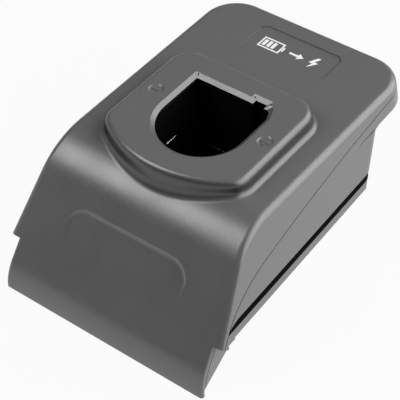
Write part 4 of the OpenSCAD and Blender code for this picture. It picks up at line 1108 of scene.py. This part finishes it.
marks = ink(box(-14.5, -3.2, -4.5, 3.2))
carve(marks, ink(box(-13.8, -2.5, -5.2, 2.5), -1, 1))
cells = [box(CELL_X + CELL_STEP * i, -1.9, CELL_X + CELL_W + CELL_STEP * i, 1.9) for i in range(3)]
for shape in [box(-4.3, -1.3, -3.5, 1.3)] + cells + [ARROW, BOLT]:
    carve(marks, ink(shape), "UNION")
marks.name = "panel_marks"
INK, tree, shader, coords = material("white ink", (0.85, 0.85, 0.85), 0.55)
worn = noise(tree, coords, 1500.0, 4.0, 0.7)
tint(tree, shader, spread(tree, worn, 0.0, 1.0, 0.25, 0.5), (0.62, 0.62, 0.62), (0.9, 0.9, 0.9))
bump(tree, shader, worn, 0.2, 0.00002)
marks.data.materials.clear()
marks.data.materials.append(INK)
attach(marks, "casing")
print("printed marks:", len(marks.data.polygons), "faces")

# %% [markdown]
# ## Floor and lamps
# A dark satin casing shows its lamps more than its colour. One large soft panel on the right lights the
# side wall, a slimmer one high on the front left draws the bright band round the bend, a wide weak one
# behind lifts the deck, and a small one low on the left keeps the apron from going black. The floor is
# white paper that keeps a faint shadow.

# %% Floor, backdrop and lights
FLOOR_HALF, FLOOR_DROP, PAPER = 3000, -0.02, 0.35
GLOW, GLOW_SHARE, SKY = 1.0, 0.95, 0.02


def area_light(name, direction, distance, size, size_y, power):
    """A soft panel that looks at the middle of the part."""
    data = bpy.data.lights.new(name, "AREA")
    data.shape = "RECTANGLE"
    data.size, data.size_y = size, size_y
    data.energy = power
    lamp = linked(name, data)
    way = Vector(direction).normalized()
    lamp.location = Vector((0, 0, 0.03)) + way * distance
    lamp.rotation_euler = way.to_track_quat("Z", "Y").to_euler()


corners = box(-FLOOR_HALF, -FLOOR_HALF, FLOOR_HALF, FLOOR_HALF)
floor = new_object("floor", level(corners, FLOOR_DROP), [(0, 1, 2, 3)])
floor_mat, tree, paper, _ = material("floor", (PAPER, PAPER, PAPER), 0.9)
glow = add(tree, "ShaderNodeEmission", values={"Strength": GLOW})
rays = add(tree, "ShaderNodeLightPath").outputs
either = {0: rays["Is Camera Ray"], 1: rays["Is Glossy Ray"]}
seen = add(tree, "ShaderNodeMath", either, operation="MAXIMUM")
share = times(tree, seen.outputs[0], GLOW_SHARE)
blend = add(tree, "ShaderNodeMixShader", {0: share, 1: paper.outputs[0], 2: glow.outputs[0]})
tree.links.new(blend.outputs[0], tree.nodes["Material Output"].inputs["Surface"])
floor.data.materials.append(floor_mat)

world = bpy.data.worlds.new("studio")
bpy.context.scene.world = world
world.use_nodes = True
tree = world.node_tree
sky = tree.nodes["Background"]
sky.inputs["Color"].default_value = (1, 1, 1, 1)
sky.inputs["Strength"].default_value = SKY
white = add(tree, "ShaderNodeBackground", values={"Strength": 1.0})
rays = add(tree, "ShaderNodeLightPath").outputs
feeds = {0: rays["Is Camera Ray"], 1: sky.outputs[0], 2: white.outputs[0]}
blend = add(tree, "ShaderNodeMixShader", feeds)
tree.links.new(blend.outputs[0], tree.nodes["World Output"].inputs["Surface"])

area_light("side softbox", (0.92, 0.55, 0.48), 1.2, 2.6, 1.6, 43)
area_light("top softbox", (-0.49, -0.45, 0.75), 1.5, 0.55, 1.0, 11)
area_light("rear softbox", (-0.30, 0.60, 0.75), 1.2, 1.6, 0.9, 0.85)
area_light("left softbox", (-0.80, -0.58, 0.14), 0.55, 0.35, 0.35, 0.08)
bpy.context.scene.view_settings.view_transform = "Standard"
